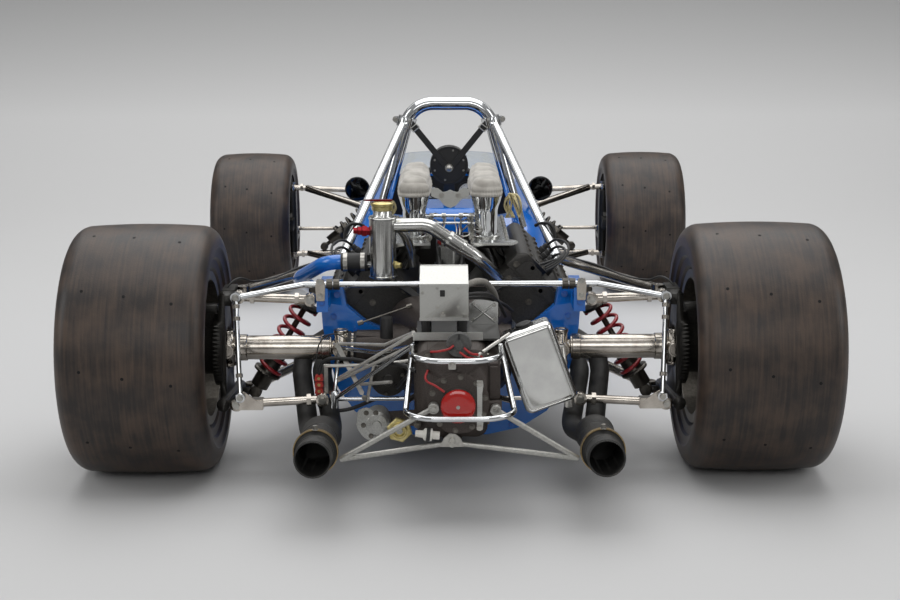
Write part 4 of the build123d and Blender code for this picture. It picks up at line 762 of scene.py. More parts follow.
timing_cover = [
    (-0.215, 0.350), (-0.190, 0.465), (-0.120, 0.512), (-0.060, 0.528), (0.060, 0.528), (0.120, 0.512),
    (0.190, 0.465), (0.215, 0.350)]
slab("timing_cover", timing_cover, at(0, 0.655, 0), 0.030, dark_magnesium, 0.004)
for side, sign in SIDES:
    upwards = Vector((sign * BANK, 0, BANK))
    spots = []
    for across in (-0.084, -0.034, 0.036, 0.086):
        for step in range(7):
            spots.append((bank(sign, COVER_TOP, across, HEAD_REAR + 0.022 + step * 0.078), upwards))
    heads(f"cam_cover_bolts_{side}", spots, dull_steel, 0.0055, 0.005, 0.0075)
    spots = [
        (bank(sign, along, across, HEAD_REAR), BACK) for along, across in (
            (0.350, -0.098), (0.374, -0.060), (0.374, 0.060), (0.350, 0.098), (0.345, 0.0),
            (0.308, -0.085), (0.308, 0.085), (0.262, -0.085), (0.262, 0.085), (0.300, 0.0))]
    heads(f"head_end_bolts_{side}", spots, dull_steel, 0.0065, 0.006, 0.009)
    outline = [
        (-0.090, 0.338), (0.092, 0.338), (0.092, 0.366), (0.078, 0.382), (0.034, 0.382), (0.026, 0.368),
        (-0.024, 0.368), (-0.032, 0.382), (-0.078, 0.382), (-0.090, 0.366)]
    slab(
        f"cam_end_plate_{side}", outline, at(0, HEAD_REAR - 0.003, CRANK_Z), 0.006, dark_magnesium,
        across=(sign * BANK, 0, -BANK), up=upwards)
    rib_lines = []
    for across in (-0.062, -0.055, 0.064, 0.057):
        rib_lines.append([
            bank(sign, COVER_TOP, across, HEAD_REAR + 0.03),
            bank(sign, COVER_TOP, across, COVER_FRONT - 0.075)])
    tubes(f"cam_cover_ribs_{side}", rib_lines, 0.0028, dark_magnesium, bent=False, rings=2)
    cap_line = [
        (0.0, 0.0), (0.0, 0.012), (0.020, 0.011), (0.022, 0.009), (0.034, 0.0085), (0.037, 0.006),
        (0.037, 0.0)]
    leads = []
    for cylinder in range(4):
        ahead = FIRST_BORE + cylinder * BORE_PITCH
        foot = bank(sign, TROUGH_FLOOR, 0.001, ahead)
        turned(f"plug_cap_{side}_{cylinder}", cap_line, foot, upwards, rubber_hose, 16)
        crest = foot + upwards * (0.052 + 0.004 * cylinder)
        lane = 0.006 * (cylinder - 1.5)
        leads.append([
            foot + upwards * 0.035, crest + Vector((0, -0.030, 0)), bank(sign, 0.418, lane - 0.020, 0.16),
            at(sign * (0.10 + lane), 0.085, 0.455), at(sign * (0.055 + lane), 0.02, 0.40)])
    tubes(f"plug_leads_{side}", leads, 0.0038, rubber_hose)
    breather = [
        at(sign * 0.309, 0.618, 0.490), at(sign * 0.317, 0.620, 0.532), at(sign * 0.305, 0.626, 0.556),
        at(sign * 0.284, 0.640, 0.558), at(sign * 0.262, 0.660, 0.548)]
    tubes(f"cover_breather_{side}", [breather], 0.0055, rubber_hose)

# Intake: polished slide housings carry tall spun trumpets with rolled lips, one to a cylinder.
# Two linkage rods cross the V between the rearmost trumpets, below a lobed plate that ties the rows.
brushed_alloy = mottled(
    "brushed_aluminium_sheet", "#B2B2AE", "#C8C8C4", 5, 0.9, 0.36, 0.48, stretch=(1, 1, 9))
polished_alloy = mottled("polished_aluminium", "#BDBDBA", "#CFCFCC", 25, 1.0, 0.17, 0.24)
dress(
    "throttle_slides", lambda low, high: cast_alloy if low.x < 0 < high.x else polished_alloy)
dress("intake_trumpets", chrome)
TRUMPET_X, SLIDE_TOP = 0.100, 0.584
for side, sign in SIDES:
    spots = []
    for step in range(9):
        for out in (-0.038, 0.056):
            spots.append((at(sign * (TRUMPET_X + out), FIRST_BORE - 0.046 + step * 0.0505, SLIDE_TOP), UP))
    heads(f"slide_bolts_{side}", spots, bare_steel, 0.0042, 0.004, 0.0055)
    foot_ring = [(0.0, 0.0303), (0.0, 0.0385), (0.005, 0.0385), (0.008, 0.0325), (0.008, 0.0303)]
    for cylinder in range(4):
        foot = at(sign * TRUMPET_X, FIRST_BORE + cylinder * BORE_PITCH, SLIDE_TOP)
        turned(f"trumpet_ring_{side}_{cylinder}", foot_ring, foot, UP, polished_alloy, 40)
    ledge = [(-0.052, -0.036), (0.064, -0.036), (0.080, -0.006), (0.064, 0.020), (-0.052, 0.020)]
    slab(
        f"slide_ledge_{side}", ledge,
        at(sign * (TRUMPET_X + 0.006), FIRST_BORE - 0.070, SLIDE_TOP - 0.003), 0.007, polished_alloy,
        across=(sign, 0, 0), up=AHEAD)
    slide_rod = [
        at(sign * (TRUMPET_X - 0.046), FIRST_BORE - 0.10, SLIDE_TOP + 0.012),
        at(sign * (TRUMPET_X - 0.046), FIRST_BORE + 0.33, SLIDE_TOP + 0.012)]
    tubes(f"slide_rod_{side}", [slide_rod], 0.004, bare_steel, bent=False)
# Columns: height, radius
CROSS_RODS = [(0.638, 0.0045), (0.617, 0.0036)]
CROSS_AHEAD, COLLAR_X = 0.285, (-0.052, -0.018, 0.030, 0.060)
for number, (height, radius) in enumerate(CROSS_RODS):
    tubes(
        f"throttle_cross_rod_{number}",
        [[at(-0.070, CROSS_AHEAD, height), at(0.070, CROSS_AHEAD, height)]], radius, chrome, bent=False)
collar_line = sleeve(-0.006, 0.006, 0.0, 0.0075)
for number, x in enumerate(COLLAR_X):
    turned(
        f"throttle_collar_{number}", collar_line, at(x, CROSS_AHEAD, CROSS_RODS[0][0]), RIGHT, bare_steel,
        16)
tubes(
    "throttle_links", [[at(x, 0.279, 0.640), at(x, 0.279, 0.596)] for x in COLLAR_X], 0.0022, bare_steel,
    bent=False)
tie_outline = [
    (-0.052, 0.706), (-0.052, 0.722), (-0.044, 0.729), (-0.034, 0.728), (-0.020, 0.717), (-0.010, 0.719),
    (0.0, 0.724), (0.010, 0.719), (0.020, 0.717), (0.034, 0.728), (0.044, 0.729), (0.052, 0.722),
    (0.052, 0.706), (0.030, 0.697), (0.016, 0.680), (0.0, 0.673), (-0.016, 0.680), (-0.030, 0.697)]
slab("trumpet_tie_plate", tie_outline, at(0, 0.196, 0), 0.004, brushed_alloy, 0.0008)
heads(
    "tie_plate_bolts", [(at(x, 0.194, 0.708), BACK) for x in (-0.024, 0.022)], bare_steel, 0.005, 0.004,
    0.0075)
# Fuel is metered by a drum in the V, which feeds each inlet tract through its own thin steel pipe.
DRUM_AHEAD, DRUM_TOP, DRUM_RING_R = 0.198, 0.566, 0.022
red_cap = mottled("red_moulded_cap", "#8C1F1E", "#A82C28", 8, 0.0, 0.35, 0.5)
for side, sign in SIDES:
    pipes, nozzles, unions = [], [], []
    for cylinder in range(4):
        bore = FIRST_BORE + cylinder * BORE_PITCH
        turn = math.radians(65 - 40 * cylinder)
        drum_spot = at(
            sign * DRUM_RING_R * math.cos(turn), DRUM_AHEAD + DRUM_RING_R * math.sin(turn), DRUM_TOP)
        nozzle = at(sign * (TRUMPET_X - 0.040), bore - 0.030, SLIDE_TOP)
        lane = 0.006 * cylinder
        pipes.append([
            drum_spot, drum_spot + Vector((sign * 0.004, 0.006, 0.020 + lane / 2)),
            at(sign * (0.046 - lane), bore - 0.070, 0.598 + lane / 2),
            nozzle + Vector((-sign * 0.004, 0, 0.016)), nozzle])
        unions.append((drum_spot, UP))
        nozzles.append((nozzle, UP))
    tubes(f"fuel_pipes_{side}", pipes, 0.0021, bare_steel)
    heads(f"fuel_unions_{side}", unions, bare_steel, 0.0048, 0.009)
    heads(f"fuel_nozzles_{side}", nozzles, bare_steel, 0.0058, 0.010)
    harness = [
        at(sign * 0.030, 0.150, 0.520), at(sign * 0.034, 0.235, 0.558), at(sign * 0.026, 0.360, 0.556),
        at(sign * 0.032, 0.520, 0.560), at(sign * 0.028, 0.640, 0.520)]
    tubes(f"vee_harness_{side}", [harness], 0.0065, rubber_hose)
    caps = [(at(sign * 0.030, ahead, 0.562), UP) for ahead in (0.250, 0.330, 0.470)]
    heads(f"harness_caps_{side}", caps, red_cap, 0.0062, 0.012, sides=12)
gold_sleeve = mottled("yellow_sleeved_wire", "#A0936A", "#CFC59C", 4, 0.2, 0.40, 0.55)
# Columns: side, its sign, how far the bundle rises
for side, sign, rise in (("left", -1, 0.012), ("right", 1, 0.030)):
    loops = []
    for strand in range(6):
        lean = 0.010 * math.sin(2.1 * strand)
        sway = 0.012 * math.cos(1.7 * strand)
        loops.append([
            at(sign * 0.190, 0.215 + sway, 0.645),
            at(sign * (0.186 + lean), 0.205 - sway, 0.665 + rise * 0.4),
            at(sign * (0.172 + lean), 0.210, 0.680 + rise * (0.7 + 0.06 * strand)),
            at(sign * (0.160 - lean), 0.222 + sway, 0.670 + rise * 0.5),
            at(sign * (0.166 + sway), 0.235, 0.640)])
    tubes(f"sleeved_leads_{side}", loops, 0.0026, gold_sleeve)

# Trumpet covers: unbleached cotton bags drawn over each row of trumpets to keep dirt out.
# Each sags a little between the trumpets' lips, and a drawstring in its rolled hem gathers it.
cover_cloth, tree, shader = new_material("unbleached_cotton", {"Roughness": 0.92, "Sheen Weight": 0.3})
place = add(tree, "ShaderNodeTexCoord").outputs["Object"]
soil = add(tree, "ShaderNodeTexNoise", values={"Scale": 22.0, "Detail": 5.0}, links={0: place})
cloth_colour = ramp(tree, soil.outputs[0], "#8F8B84", "#AFABA4", 0.35, 0.65)
weave = add(
    tree, "ShaderNodeTexWave", {"wave_type": "BANDS", "bands_direction": "Y"},
    {"Scale": 330.0, "Distortion": 1.5}, {0: place})
tree.links.new(cloth_colour, shader.inputs["Base Color"])
bumped(tree, shader, weave.outputs[0], 0.25, 0.0005)
BAG_HALF, BAG_FOOT, BAG_TALL, BAG_ROUND, BAG_UP = 0.0475, 0.7015, 0.052, 144, 36
BAG_RUN = 3 * BORE_PITCH
for side, sign in SIDES:
    bag_verts, bag_faces = [], []
    for row in range(BAG_UP + 1):
        v = row / BAG_UP
        hem = 0.0016 * math.exp(-((v - 0.05) / 0.03) ** 2) - 0.0022 * math.exp(-((v - 0.12) / 0.04) ** 2)
        reach = math.cos(v * math.pi / 2) ** 0.62
        for column in range(BAG_ROUND):
            turn = 2 * math.pi * column / BAG_ROUND
            run = BAG_RUN / 2 * max(-1.0, min(1.0, 2.2 * math.sin(turn)))
            gather = 0.0009 * math.sin(36 * turn + 1.3 * sign) * max(0.0, 1 - 3 * v)
            roll = 2.3 * v * 2 * math.pi + 2.6 * math.cos(turn + 0.7 * sign) + 1.1 * math.sin(2 * turn)
            fold = 0.0024 * (abs(math.sin(roll / 2)) - 0.6) * math.sin(math.pi * v) ** 0.5
            sag = 0.008 * (0.5 - 0.5 * math.cos(2 * math.pi * (run + BAG_RUN / 2) / BORE_PITCH)) * v
            radius = (BAG_HALF + gather + hem + fold) * reach
            across = sign * TRUMPET_X + radius * math.cos(turn)
            along = FIRST_BORE + BAG_RUN / 2 + run + radius * math.sin(turn)
            ripple = 0.0024 * math.sin(75 * along + 30 * across + 2.0 * sign) * v
            height = BAG_FOOT + BAG_TALL * math.sin(v * math.pi / 2) ** 0.9
            bag_verts.append(at(across, along, height - sag + ripple + 0.6 * fold))
    for row in range(BAG_UP):
        for column in range(BAG_ROUND):
            i, j = row * BAG_ROUND + column, row * BAG_ROUND + (column + 1) % BAG_ROUND
            bag_faces.append((i, j, j + BAG_ROUND, i + BAG_ROUND))
    bag = mesh_piece(f"trumpet_cover_{side}", bag_verts, bag_faces, cover_cloth)
    smooth(closed_up(bag, 1e-5), 80)
    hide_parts("intake_covers")
    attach(bag, "chassis")

# Exhaust: mild steel pipes sprayed with matt heat paint, mottled in dark greys.
# A bronze-coloured clamp band goes round each tailpipe, bolted at the top; the mouth's edge is rolled.
exhaust_paint = mottled("matt_heat_paint", "#282827", "#403F3D", 35, 0.3, 0.50, 0.70, relief=0.0002)
bronze_band = mottled("bronzed_clamp_band", "#8A7654", "#AD9870", 10, 0.9, 0.32, 0.48)
TAIL_X = {"left": -0.328, "right": 0.362}
TAIL_MOUTH_BEHIND, TAIL_Z, TAIL_R, BAND_IN = 0.540, 0.190, 0.044, 0.095
tail_way = Vector((0, -0.290, 0.027)).normalized()
for side, x in TAIL_X.items():
    dress(f"exhaust_{side}", exhaust_paint)
    mouth = at(x, -TAIL_MOUTH_BEHIND, TAIL_Z)
    band = [
        (-0.009, 0.0522), (-0.009, 0.0545), (-0.003, 0.0550), (0.003, 0.0550), (0.009, 0.0545),
        (0.009, 0.0522)]
    turned(f"tail_band_{side}", band, mouth - tail_way * BAND_IN, tail_way, bronze_band, 64)
    lip = [
        (-0.010, TAIL_R + 0.0002), (-0.004, TAIL_R + 0.0016), (0.0, TAIL_R + 0.0012),
        (0.0006, TAIL_R - 0.001), (0.0, TAIL_R - 0.0028)]
    turned(f"tail_lip_{side}", lip, mouth - tail_way * 0.0045, tail_way, exhaust_paint, 64)
    seam = [
        (-0.003, TAIL_R + 0.0001), (-0.001, TAIL_R + 0.0016), (0.001, TAIL_R + 0.0016),
        (0.003, TAIL_R + 0.0001)]
    for number, inward in enumerate((0.060, 0.215)):
        turned(f"tail_weld_{side}_{number}", seam, mouth - tail_way * inward, tail_way, exhaust_paint, 64)
    heads(
        f"tail_band_bolt_{side}", [(mouth - tail_way * BAND_IN + Vector((0, 0, 0.055)), UP)], bare_steel,
        0.006, 0.010, 0.008)

# Cross plate: a folded and welded steel box behind the engine, in body blue, that carries the rear links.
# It is bolted through to the block around its rim.
dress("cross_plate", blue_paint, 30)
plate_skin = skin_of("cross_plate")
PLATE_BOLTS = [
    (0.315, 0.40), (0.325, 0.34), (0.306, 0.26), (0.283, 0.19), (0.230, 0.135), (0.165, 0.095),
    (0.08, 0.083), (0.255, 0.36), (0.305, 0.46), (0.338, 0.46)]
spots = [
    on_skin(plate_skin, at(sign * x, -1.0, z), Vector(AHEAD)) for x, z in PLATE_BOLTS for sign in (-1, 1)]
heads("cross_plate_bolts", spots, rivet_blue, 0.0065, 0.006, 0.009)

# Transaxle: a dark magnesium case, ribbed for stiffness, with bolted side and tail covers.
# A bright scavenge pump hangs on its left flank, piped to it through a large brass union.
gearbox_casting = mottled("dark_gearbox_casting", "#322C29", "#4C443F", 3, 0.4, 0.38, 0.56, relief=0.0003)
brass = mottled("dull_brass", "#AD9D62", "#CFC390", 12, 1.0, 0.26, 0.38)
dress("gearbox", gearbox_casting)
gear_skin = skin_of("gearbox")
# Columns: across, height
CASE_BOLTS = [
    (-0.083, 0.245), (0.145, 0.232), (-0.150, 0.300), (0.150, 0.300), (-0.140, 0.200), (0.140, 0.200),
    (-0.100, 0.385), (0.112, 0.400), (-0.060, 0.415), (0.060, 0.415)]
spots = [on_skin(gear_skin, at(x, -1.0, z), Vector(AHEAD)) for x, z in CASE_BOLTS]
heads("gearbox_bolts", spots, dull_steel, 0.0065, 0.007, 0.009)
COVER_X, COVER_Z, COVER_R, COVER_BOLTS = 0.014, 0.302, 0.066, 10
turns = [2 * math.pi * (i + 0.35) / COVER_BOLTS for i in range(COVER_BOLTS)]
spots = [
    on_skin(
        gear_skin, at(COVER_X + COVER_R * math.cos(t), -1.0, COVER_Z + COVER_R * math.sin(t)),
        Vector(AHEAD))
    for t in turns]
heads(
    "tail_cover_bolts", [s for s in spots if s and s[0].y < REAR_Y - 0.44], dull_steel, 0.005, 0.005,
    0.0072)
spots = []
for sign in (-1, 1):
    for behind in (0.100, 0.165, 0.235, 0.305, 0.375, 0.420):
        for z in (0.245, 0.400):
            spots.append(on_skin(gear_skin, at(sign, -behind, z), Vector((-sign, 0, 0))))
heads("gearbox_side_bolts", spots, dull_steel, 0.005, 0.005, 0.0072)
side_cover = [
    (-0.425, 0.300), (-0.425, 0.388), (-0.410, 0.400), (-0.190, 0.400), (-0.165, 0.385), (-0.165, 0.250),
    (-0.185, 0.232), (-0.265, 0.232), (-0.285, 0.262), (-0.300, 0.294)]
slab("gearbox_side_cover", side_cover, at(0.101, 0, 0), 0.030, gearbox_casting, 0.005, across=AHEAD)
PUMP = at(-0.188, -0.250, 0.195)
pump_alloy = mottled("bead_blasted_aluminium", "#9C9C99", "#BBBBB7", 3, 0.9, 0.34, 0.48, relief=0.0002)
pump_body = [
    (-0.060, 0.0), (-0.060, 0.026), (-0.050, 0.032), (0.004, 0.034), (0.016, 0.032), (0.022, 0.026),
    (0.024, 0.012), (0.030, 0.011), (0.030, 0.0)]
turned("scavenge_pump", pump_body, PUMP, BACK, pump_alloy, 40)
flange = [
    (-0.022, 0.036), (-0.004, 0.044), (0.016, 0.040), (0.026, 0.018), (0.016, -0.006), (0.022, -0.034),
    (0.006, -0.042), (-0.010, -0.032), (-0.026, -0.006)]
slab("pump_flange", flange, PUMP + Vector((-0.026, -0.016, 0)), 0.010, pump_alloy, 0.003)
# Columns: across, height
PUMP_BOLTS = [(-0.214, 0.226), (-0.222, 0.194), (-0.203, 0.166), (-0.190, 0.226)]
heads("pump_bolts", [(at(x, -0.271, z), BACK) for x, z in PUMP_BOLTS], dull_steel, 0.0048, 0.005, 0.0066)
slab(
    "pump_bracket", [(0.0, -0.016), (0.108, -0.022), (0.108, 0.022), (0.0, 0.016)],
    PUMP + Vector((0.0, 0.040, 0.0)), 0.006, gearbox_casting)
UNION = at(-0.129, -0.335, 0.203)
union_hex = [
    (-0.020, 0.0), (-0.020, 0.018), (0.0, 0.018), (0.0, 0.030), (0.002, 0.032), (0.010, 0.032),
    (0.012, 0.029), (0.012, 0.0)]
turned("brass_union", union_hex, UNION, BACK, brass, 6)
union_collar = [(0.0, 0.019), (0.008, 0.019), (0.010, 0.017), (0.010, 0.013), (0.004, 0.012), (0.004, 0.0)]
turned("union_collar", union_collar, UNION + Vector((0, -0.012, 0)), BACK, brass, 32)
turned(
    "union_plug", [(0.0, 0.0), (0.0, 0.009), (0.004, 0.008), (0.004, 0.0)], UNION + Vector((0, -0.016, 0)),
    BACK, pump_alloy, 6)
tubes(
    "scavenge_pipe",
    [[PUMP + Vector((0.02, 0.02, -0.02)), at(-0.158, -0.28, 0.176), UNION + Vector((0, 0.018, 0))]], 0.011,
    pump_alloy)
STARTER = at(-0.163, -0.055, 0.274)
starter_can = [
    (0.0, 0.0), (0.0, 0.048), (0.060, 0.048), (0.062, 0.046), (0.072, 0.044), (0.078, 0.036),
    (0.080, 0.016), (0.084, 0.014), (0.084, 0.0)]
turned("starter_motor", starter_can, STARTER, BACK, dark_magnesium, 48)
starter_turns = [math.radians(a) for a in (20, 140, 260)]
heads(
    "starter_bolts",
    [(STARTER + Vector((0.038 * math.cos(t), -0.074, 0.038 * math.sin(t))), BACK) for t in starter_turns],
    dull_steel, 0.0045, 0.008, 0.006)
tubes(
    "starter_lead", [[
        STARTER + Vector((0.020, -0.080, -0.018)), at(-0.140, -0.160, 0.262), at(-0.120, -0.220, 0.300),
        at(-0.104, -0.300, 0.338)]],
    0.0046, rubber_hose)
turned(
    "breather_stub", [(0.0, 0.0), (0.0, 0.017), (0.052, 0.0165), (0.056, 0.014), (0.056, 0.0)],
    at(-0.168, -0.080, 0.374), UP, rubber_hose, 32)
shift_rod = [at(-0.228, -0.100, 0.421), at(-0.114, -0.100, 0.460)]
tubes("shift_rod", [shift_rod], 0.0022, dull_steel, bent=False)
heads(
    "shift_rod_ends", [(shift_rod[0], (-1, 0, -0.3)), (shift_rod[1], (1, 0, 0.3))], dull_steel, 0.0062,
    0.014)
nylon = mottled("white_nylon", "#C9C7BF", "#DAD8D1", 15, 0.0, 0.35, 0.5)
connector = [
    (0.0, 0.0), (0.0, 0.010), (0.018, 0.010), (0.018, 0.015), (0.036, 0.015), (0.040, 0.009),
    (0.058, 0.008), (0.058, 0.0)]
turned("breather_connector", connector, at(-0.030, -0.476, 0.229), (-1, 0, 0.1), nylon, 24)
turned(
    "connector_band", sleeve(0.0, 0.009, 0.0151, 0.0166), at(-0.0525, -0.476, 0.2313), (-1, 0, 0.1),
    rubber_hose, 24)
slab(
    "jacking_lug",
    [(-0.030, -0.014), (0.030, -0.014), (0.020, 0.008), (0.006, 0.020), (-0.006, 0.020), (-0.020, 0.008)],
    at(0, -0.446, 0.206), 0.006, bare_steel)
heads("jacking_lug_bolt", [(at(0, -0.449, 0.210), BACK)], bare_steel, 0.0065, 0.006, 0.009)

# Rear frame: a two-level cage and a truss of thin chrome tube, brazed, round the transaxle's tail.
# Galvanised braces with flattened, bolted ends hold the two tailpipes.
galvanised = mottled("galvanised_tube", "#A09F9A", "#BAB9B4", 6, 0.8, 0.34, 0.46)
satin_nickel = mottled("satin_nickel_tube", "#D2CFC8", "#E6E4DE", 20, 0.65, 0.20, 0.30)
TRUSS = runs(
    [(-0.298, -0.100, 0.263), (-0.097, -0.350, 0.418)],
    [(-0.331, -0.100, 0.304), (-0.199, -0.150, 0.319)],
    [(-0.199, -0.150, 0.319), (-0.090, -0.200, 0.345)],
    [(-0.219, -0.130, 0.217), (-0.199, -0.150, 0.319)],
    [(-0.297, -0.106, 0.270), (-0.092, -0.351, 0.448)],
    [(-0.294, -0.085, 0.360), (-0.168, -0.200, 0.384), (-0.092, -0.351, 0.452)],
    [(-0.232, -0.165, 0.272), (-0.150, -0.300, 0.314)],
    [(0.141, -0.300, 0.435), (0.062, -0.450, 0.419)])
BRACES_BELOW, TRUSS_BEHIND = 0.32, 0.4


def frame_finish(low, high):
    """Galvanised for the low braces, satin nickel for the truss, chrome for the cage at the tail."""
    if high.z < BRACES_BELOW:
        return galvanised
    return satin_nickel if low.y > REAR_Y - TRUSS_BEHIND else chrome


dress("rear_frame", frame_finish)
tubes("truss_tubes", TRUSS, 0.0045, satin_nickel, bent=False)
strip_way = (at(-0.223, -0.160, 0.234) - at(-0.296, -0.090, 0.360)).normalized()
strip_face = Vector(BACK).cross(strip_way).normalized()
slab(
    "strip_link",
    [(-0.006, 0.0), (0.0, -0.006), (0.006, 0.0), (0.006, 0.146), (0.0, 0.152), (-0.006, 0.146)],
    at(-0.296, -0.096, 0.360), 0.003, bare_steel, 0.0006, across=strip_face, up=strip_way)
heads(
    "strip_link_bolts", [(at(-0.296, -0.099, 0.358), BACK), (at(-0.224, -0.165, 0.236), BACK)], bare_steel,
    0.005, 0.005, 0.007)
BRACE_BOLTS = [(-0.044, -0.4777, 0.295), (0.104, -0.4597, 0.285), (0.0, -0.452, 0.201)]
heads("brace_bolts", [(at(*spot), BACK) for spot in BRACE_BOLTS], bare_steel, 0.0065, 0.006, 0.0095)
heads("cage_bolt", [(at(0.0, -0.513, 0.410), BACK)], bare_steel, 0.0055, 0.006, 0.008)
slab("cage_lug", oblong(-0.009, 0.009, -0.012, 0.006), at(0.0, -0.510, 0.412), 0.006, bare_steel)

# Rear suspension: nickel-plated links with screwed rod ends, cast uprights and red springs over dampers.
# The half shafts have crossed joints with capped bearings, and a thin anti-roll bar turns in split blocks.
spring_red = mottled("red_enamelled_spring_steel", "#8A1A22", "#A3262D", 20, 0.0, 0.25, 0.38, coat=0.4)
damper_steel = mottled("dark_plated_damper", "#45423E", "#5C5852", 25, 0.9, 0.25, 0.4)
upright_casting = mottled("dark_cast_upright", "#262523", "#3A3835", 4, 0.6, 0.36, 0.52, relief=0.0003)
dress("rear_links", nickel_plate)
dress("anti_roll_bar", chrome)
dress("rear_uprights", upright_casting)
dress("dampers", damper_steel)
dress("springs", lambda low, high: spring_red if high.y < 0 else damper_steel)
SHAFT_Z, JOINT_X, JOINT_REACH = REAR_R, (0.292, 0.592), 0.046
ROLL_BAR_Z, ROLL_BLOCK_X = 0.5063, 0.341
cap_line = [
    (-0.006, 0.0195), (0.0, 0.0200), (0.0022, 0.0190), (0.0022, 0.0150), (0.0006, 0.0140), (0.0006, 0.0)]
LOCK_NUT_R, LOCK_NUT_TALL, ROD_BOLT_R, ROD_BOLT_TALL = 0.0165, 0.011, 0.0085, 0.008
# Columns: inner end and outer end of a link
REAR_LINKS = [
    ((0.3695, -0.020, 0.464), (0.5577, -0.020, 0.472)),
    ((0.3345, -0.120, 0.220), (0.5577, -0.120, 0.208))]
for side, sign in SIDES:
    spin = f"rear_wheel_body_{side}"
    dress(f"driveshaft_{side}", nickel_plate)
    for number, x in enumerate(JOINT_X):
        for way in (BACK, AHEAD, UP, DOWN):
            centre = at(sign * x, 0, SHAFT_Z) + Vector(way) * JOINT_REACH
            turned(
                f"joint_cap_{side}_{number}_{way[1]}_{way[2]}", cap_line, centre, way, nickel_plate, 24,
                spin)
    shoulder = [(-0.012, 0.0322), (-0.010, 0.0350), (0.010, 0.0350), (0.012, 0.0322)]
    for number, x in enumerate((0.332, 0.552)):
        turned(
            f"shaft_collar_{side}_{number}", shoulder, at(sign * x, 0, SHAFT_Z), RIGHT, nickel_plate, 40,
            spin)
    boot = [
        (-0.016, 0.030), (-0.012, 0.042), (-0.004, 0.043), (0.0, 0.038), (0.006, 0.043), (0.012, 0.042),
        (0.016, 0.030)]
    turned(f"output_seal_{side}", boot, at(sign * 0.262, 0, SHAFT_Z), RIGHT, rubber_hose, 40, spin)
    spots, bolts = [], []
    for inner, outer in REAR_LINKS:
        start, end = at(sign * inner[0], *inner[1:]), at(sign * outer[0], *outer[1:])
        along = (end - start).normalized()
        spots += [(start + along * 0.030, along), (end - along * 0.041, along)]
        bolts += [(start + Vector((0, -0.013, 0)), BACK), (end + Vector((0, -0.013, 0)), BACK)]
    heads(f"link_lock_nuts_{side}", spots, nickel_plate, LOCK_NUT_R, LOCK_NUT_TALL)
    heads(f"link_bolts_{side}", bolts, bare_steel, ROD_BOLT_R, ROD_BOLT_TALL, 0.011)
    drop_top, drop_foot = at(sign * 0.561, -0.060, 0.4796), at(sign * 0.546, -0.1425, 0.232)
    down = (drop_foot - drop_top).normalized()
    heads(
        f"drop_link_nuts_{side}", [(drop_top + down * d, down) for d in (0.020, 0.052, 0.200)],
        nickel_plate, 0.0095, 0.010)
    heads(
        f"drop_link_bolts_{side}", [(p + Vector((0, -0.009, 0)), BACK) for p in (drop_top, drop_foot)],
        bare_steel, 0.007, 0.006, 0.009)
    slab(
        f"drop_link_block_{side}", oblong(-0.032, 0.032, -0.015, 0.013), at(sign * 0.520, -0.120, 0.2100),
        0.032, nickel_plate, 0.002, across=(sign, 0, 0))
    slab(
        f"drop_link_bracket_{side}",
        [(-0.034, 0.0), (0.026, 0.0), (0.030, 0.010), (0.026, 0.030), (0.014, 0.034), (0.006, 0.030)],
        at(sign * 0.528, -0.1345, 0.2130), 0.004, nickel_plate, 0.0008, across=(sign, 0, 0))
    collar = sleeve(-0.008, 0.008, 0.0082, 0.0145)
    for number, x in enumerate((0.300, 0.318)):
        turned(
            f"roll_bar_collar_{side}_{number}", collar, at(sign * x, -0.030, ROLL_BAR_Z), RIGHT,
            damper_steel, 32)
    slab(
        f"roll_bar_block_{side}", [
            (-0.011, -0.040), (0.011, -0.040), (0.013, 0.000), (0.009, 0.017), (-0.009, 0.017),
            (-0.013, 0.0)],
        at(sign * ROLL_BLOCK_X, -0.048, ROLL_BAR_Z), 0.010, nickel_plate)
    heads(
        f"roll_bar_bolts_{side}", [(at(sign * ROLL_BLOCK_X, -0.053, z), BACK) for z in (0.518, 0.480)],
        bare_steel, 0.0055, 0.006, 0.0075)
    rod_start, rod_end = at(sign * 0.3055, 0.735, 0.4398), at(sign * 0.5384, 0.132, 0.4658)
    rise = Vector((0, 0, 0.017))
    tubes(
        f"brake_pipe_{side}", [[
            at(sign * 0.284, 0.720, 0.468), rod_start + rise, rod_start.lerp(rod_end, 0.5) + rise,
            rod_end + rise, at(sign * 0.575, 0.080, 0.500), at(sign * 0.612, 0.040, 0.470)]],
        0.0032, rubber_hose)

# Front suspension and steering: nickel-plated arms to cast uprights; the rack housing crosses the tub.
# The ball joints are nutted above and below, and the track rods screw into their ends.
dress("front_arms", nickel_plate)
dress("track_rods", nickel_plate)
dress("rack_housing", cast_alloy)
KINGPIN_X, BALL_UP, BALL_DOWN, EYE_HALF = 0.648, 0.428, 0.148, 0.012
for side, sign in SIDES:
    dress(f"front_upright_{side}", upright_casting)
    axle = FRONT_Y - REAR_Y
    heads(
        f"ball_joint_nuts_{side}", [
            (at(sign * KINGPIN_X, axle, BALL_UP + EYE_HALF), UP),
            (at(sign * KINGPIN_X, axle, BALL_DOWN - EYE_HALF), DOWN)],
        bare_steel, 0.011, 0.010, 0.014)
    for height in (BALL_UP, BALL_DOWN):
        heads(
            f"arm_lock_nut_{side}_{round(height * 1000)}",
            [(at(sign * (KINGPIN_X - 0.045), axle + 0.0025, height), (sign, 0, 0))], nickel_plate, 0.015,
            0.010)

